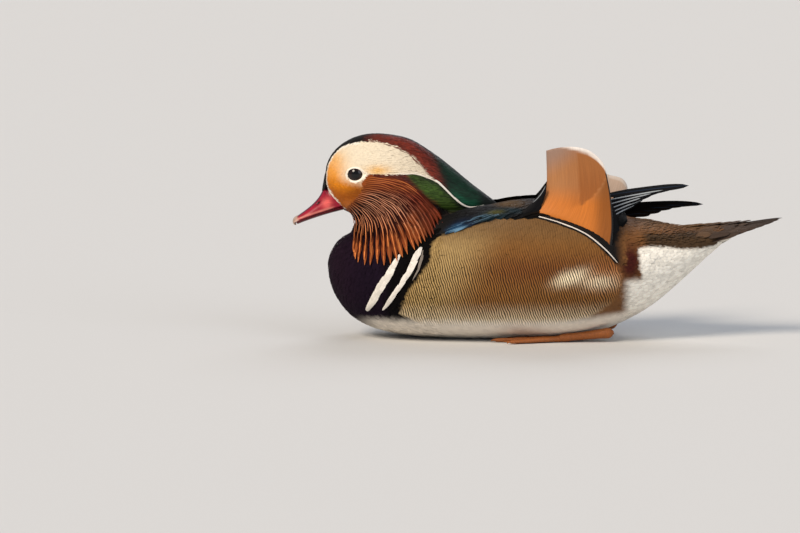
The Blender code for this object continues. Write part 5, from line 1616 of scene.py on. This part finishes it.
# The nail's line, as rows of distance along the bill, height, half width and half thickness.
NAIL = (
    (25.4, 2.3, 0.6, 0.5), (26.6, 2.6, 1.9, 0.9), (28.4, 2.4, 2.7, 1.15), (30.0, 1.5, 2.6, 1.2),
    (30.7, 0.3, 2.0, 1.0), (30.8, -0.7, 1.2, 0.7), (30.6, -1.4, 0.35, 0.25),
)


def make_bill():
    """The upper and lower bill, and the hooked nail at its tip."""
    make_bill_half(
        "upper_bill", "bill_upper", (np.linspace(-7, 22, 90), np.linspace(22.3, 31.0, 30)), mouth_line,
        culmen_line, bill_half_width, 61, True)
    make_bill_half(
        "lower_bill", "bill_lower", (np.linspace(-6, 20, 60), np.linspace(20.4, 29.2, 24)),
        lambda s: mouth_line(s) - 2.0 - 0.6 * (1 - s / 30.0), lambda s: mouth_line(s) - 0.12,
        lambda s: 0.9 * bill_half_width(s), 41, False)
    shares = np.linspace(0, 1, len(NAIL))
    along, up, wide, thick = rows_at(np.column_stack((shares, NAIL)), np.linspace(0, 1, 30)).T[1:]
    middle = bill_axis(along, up)
    slope = unit(np.gradient(middle, axis=0))
    over = np.stack((slope[:, 2], 0 * along, -slope[:, 0]), axis=-1)
    sideways = np.array((0.0, 1.0, 0.0)) * wide[:, None]
    nail = ringed(middle, sideways, over * thick[:, None], 28)
    placed(solid("bill_nail", *nail, PAINT["nail"]), ["bill_upper"])


# Each toe's reach, its turn outwards in degrees, and its half thickness.
TOES = ((40.0, -18.0, 2.0), (46.0, 4.0, 2.1), (38.0, 25.0, 1.9))
# Shares of a toe's reach at its rings.
TOE_RINGS = (0.0, 0.12, 0.25, 0.36, 0.45, 0.56, 0.66, 0.76, 0.86, 0.93)
# A claw's places, as shares of the toe's reach and heights, and its half widths.
CLAW = ((0.89, -0.9), (0.94, -0.7), (0.98, -1.0), (1.0, -1.8))
CLAW_HALVES = (0.9, 0.75, 0.45, 0.1)
SHANK = (
    (52.0, 27.0, 6.2), (49.0, 27.0, 6.0), (43.0, 27.5, 5.4), (34.0, 28.8, 4.4), (26.0, 30.2, 3.7),
    (20.0, 31.4, 3.2), (16.0, 32.0, 2.8),
)
SHANK_HALVES = (1.0, 3.6, 3.4, 2.9, 2.7, 2.9, 2.2)
HIND_TOE = ((21.0, 29.5, 2.6), (25.0, 27.5, 2.0), (29.0, 26.0, 1.4), (31.5, 25.2, 1.0))
HIND_HALVES = (1.1, 1.0, 0.7, 0.2)
# A web's points across it, and along it.
WEB_RIBS, WEB_COUNT = 9, 16


def limb(line, halves, sides=14):
    """A round limb through places, with a half width at each."""
    rows = np.column_stack((np.linspace(0, 1, len(line)), line, halves))
    found = rows_at(rows, np.linspace(0, 1, 4 * len(line)))[:, 1:]
    middle, half = found[:, :3], found[:, 3:]
    slope = unit(np.gradient(middle, axis=0))
    sideways = unit(np.cross(slope, (0.0, 0.0, 1.0)))
    return ringed(middle, sideways * half, np.cross(sideways, slope) * half * 0.95, sides)


def make_foot(side, end):
    """A foot folded under the body: three webbed toes, the small hind toe, and claws."""
    bodies, tips = [], []
    root = np.array((17.0, side * 32.0, 2.4))
    for reach, spread, half in TOES:
        way = np.array((-math.cos(math.radians(spread)), side * math.sin(math.radians(spread)), 0.0))
        line, halves = [], []
        for share in TOE_RINGS:
            knuckle = 0.35 * math.cos(share * 22.0)
            line.append(root + way * reach * share + np.array((0, 0, -0.9 * share)))
            halves.append(half * (1.0 - 0.45 * share) + 0.3 * knuckle)
        bodies.append(limb(line, halves))
        claw = [root + way * reach * share + np.array((0, 0, drop)) for share, drop in CLAW]
        bodies.append(limb(claw, CLAW_HALVES, 10))
        tips.append((way, reach))
    for (way_a, reach_a), (way_b, reach_b) in zip(tips, tips[1:]):
        sheet = []
        for t in np.linspace(0.0, 1.0, WEB_RIBS):
            way = way_a * (1 - t) + way_b * t
            reach = (reach_a * (1 - t) + reach_b * t) * (0.86 - 0.42 * t * (1 - t))
            for share in np.linspace(0.06, 1.0, WEB_COUNT):
                sag = 0.5 * math.sin(math.pi * t) * (1 + 0.5 * math.sin(share * 40))
                sheet.append(root + way * reach * share + np.array((0, 0, -0.9 * share - 0.4 - sag)))
        under = np.array(sheet) - np.array((0, 0, 0.5))
        bodies.append((np.concatenate((sheet, under)), sheet_faces(WEB_RIBS, WEB_COUNT)))
    for line, halves, sides in ((SHANK, SHANK_HALVES, 14), (HIND_TOE, HIND_HALVES, 10)):
        bodies.append(limb([(x, side * y, z) for x, y, z in line], halves, sides))
    made = solid("foot_" + end, *gathered(bodies), PAINT["leg"])
    flat = points_of(made.data)
    flat[:, 2] = np.maximum(flat[:, 2], 0.05)
    move_points(made.data, flat)
    placed(made, ["leg_" + end])


# Across the lid: the share of the way out to its edge, and its height over the ball or the face.
LID_PROFILE = (
    (1.0, -0.9), (0.92, -0.1), (0.62, 0.16), (0.32, 0.26), (0.12, 0.26), (0.02, 0.12), (0.0, -0.25),
    (0.3, -1.2), (0.8, -1.4),
)


def make_eye(side, end):
    """The eyeball, and the pale lids round the part of it that shows."""
    bpy.ops.mesh.primitive_uv_sphere_add(segments=48, ring_count=32, radius=EYE_RADIUS * MM)
    eye = bpy.context.object
    eye.name = "eyeball_" + end
    eye.location = Vector((EYE_PLACE[0], side * EYE_PLACE[1], EYE_PLACE[2])) * MM
    bpy.ops.object.transform_apply(location=True, rotation=True, scale=True)
    bpy.ops.object.shade_smooth()
    eye.data.materials.append(PAINT["eye"])
    eye.select_set(False)
    placed(eye, ["eye_" + end])
    around = 96
    angle = 2 * np.pi * np.arange(around) / around
    ways = np.stack((np.cos(angle), np.sin(angle)), axis=-1)
    centre = np.array((EYE_PLACE[0], EYE_PLACE[2]))
    outer = np.interp(np.degrees(angle), *zip(*LID_EDGE)) + 0.25
    inner = 1 / np.hypot(ways[:, 0] / EYE_OPENING[0], ways[:, 1] / EYE_OPENING[1])
    inner = inner * (1 - 0.1 * np.cos(angle))
    rows = []
    for share, height in LID_PROFILE:
        reach = inner + (outer - inner) * share
        flat = centre + ways * reach[:, None]
        hit, _ = ground.from_side(flat, side)
        ball = EYE_PLACE[1] + np.sqrt(np.maximum(EYE_RADIUS ** 2 - np.minimum(reach, 6.0) ** 2, 1.0))
        y = ball + (np.abs(hit[:, 1]) - ball) * ramp(np.full(around, share), 0.0, 0.95)
        rows.append(np.stack((flat[:, 0], side * (y + height), flat[:, 1]), axis=-1))
    points = np.stack(rows, axis=1).reshape(-1, 3)
    grid = np.arange(around * len(LID_PROFILE)).reshape(around, -1)
    ahead, beside = np.roll(grid, -1, axis=0), np.roll(grid, -1, axis=1)
    faces = np.stack((grid, beside, np.roll(ahead, -1, axis=1), ahead), axis=-1).reshape(-1, 4).tolist()
    placed(solid("eyelid_" + end, points, faces, PAINT["lid"]), ["head"])


make_head_coat()
make_body_coat()
make_hackles()
for side, end in SIDES:
    make_sail(side, end)
for side, end in SIDES:
    make_wing(side, end)
make_tail()
make_bill()
for side, end in SIDES:
    make_eye(side, end)
    make_foot(side, end)


# The sky's colour and power, then each lamp's name, place, spread in degrees, power and colour.
SKY = ("#dfe5ee", 0.42)
LAMPS = (
    ("key", (-1.2, -1.6, 1.7), 24.0, 2.8, "#fff0dd"),
    ("fill", (1.6, -1.3, 1.0), 40.0, 0.55, "#eef3ff"),
    ("back", (0.3, 1.9, 1.6), 35.0, 0.9, "#f6f8ff"),
)
LAMP_TARGET = Vector((0, 0, 0.06))
# The camera's turn to the bird's rear, its rise and its distance, then the middle and the width it sees.
VIEW_TURN, VIEW_RISE, VIEW_DISTANCE = math.radians(4.0), math.radians(6.0), 5.0
VIEW_MIDDLE, VIEW_WIDTH, SENSOR_WIDTH = Vector((-0.0914, 0.0, 0.0462)), 0.5317, 36.0


def aimed(name, data, place, way, axis):
    """Adds a lamp or a camera at a place, with one of its axes along a way."""
    holder = bpy.data.objects.new(name, data)
    bpy.context.scene.collection.objects.link(holder)
    holder.location = place
    holder.rotation_mode = "QUATERNION"
    holder.rotation_quaternion = way.to_track_quat(axis, "Y")
    return holder


def make_stage():
    """A pale floor under soft studio light, seen from the photograph's angle."""
    bpy.ops.mesh.primitive_plane_add(size=40.0, location=(0, 0, 0))
    floor = bpy.context.object
    floor.name = "floor"
    floor.select_set(False)
    # Matt painted board.
    paint = grained_material(
        "matt_studio_floor", {"Scale": 900.0, "Detail": 4.0}, (0.982, 1.012), (0.4, 0.01), "#d2d2d1",
        Roughness=0.95)
    floor.data.materials.append(paint)
    world = bpy.data.worlds.new("studio")
    bpy.context.scene.world = world
    world.use_nodes = True
    world.node_tree.nodes["Background"].inputs["Color"].default_value = (*linear(SKY[0]), 1.0)
    world.node_tree.nodes["Background"].inputs["Strength"].default_value = SKY[1]
    for name, place, spread, power, colour in LAMPS:
        lamp = bpy.data.lights.new(name, "SUN")
        lamp.angle, lamp.energy, lamp.color = math.radians(spread), power, linear(colour)
        aimed(name, lamp, place, LAMP_TARGET - Vector(place), "-Z")


def make_camera():
    """The photograph's camera, with a long lens."""
    lens = bpy.data.cameras.new("camera")
    level = math.cos(VIEW_RISE)
    back = Vector((math.sin(VIEW_TURN) * level, -math.cos(VIEW_TURN) * level, math.sin(VIEW_RISE)))
    bpy.context.scene.camera = aimed("camera", lens, VIEW_MIDDLE + back * VIEW_DISTANCE, back, "Z")
    lens.sensor_width = SENSOR_WIDTH
    lens.lens = SENSOR_WIDTH * VIEW_DISTANCE / VIEW_WIDTH


make_stage()
make_camera()
bpy.context.scene.view_settings.view_transform = "Standard"
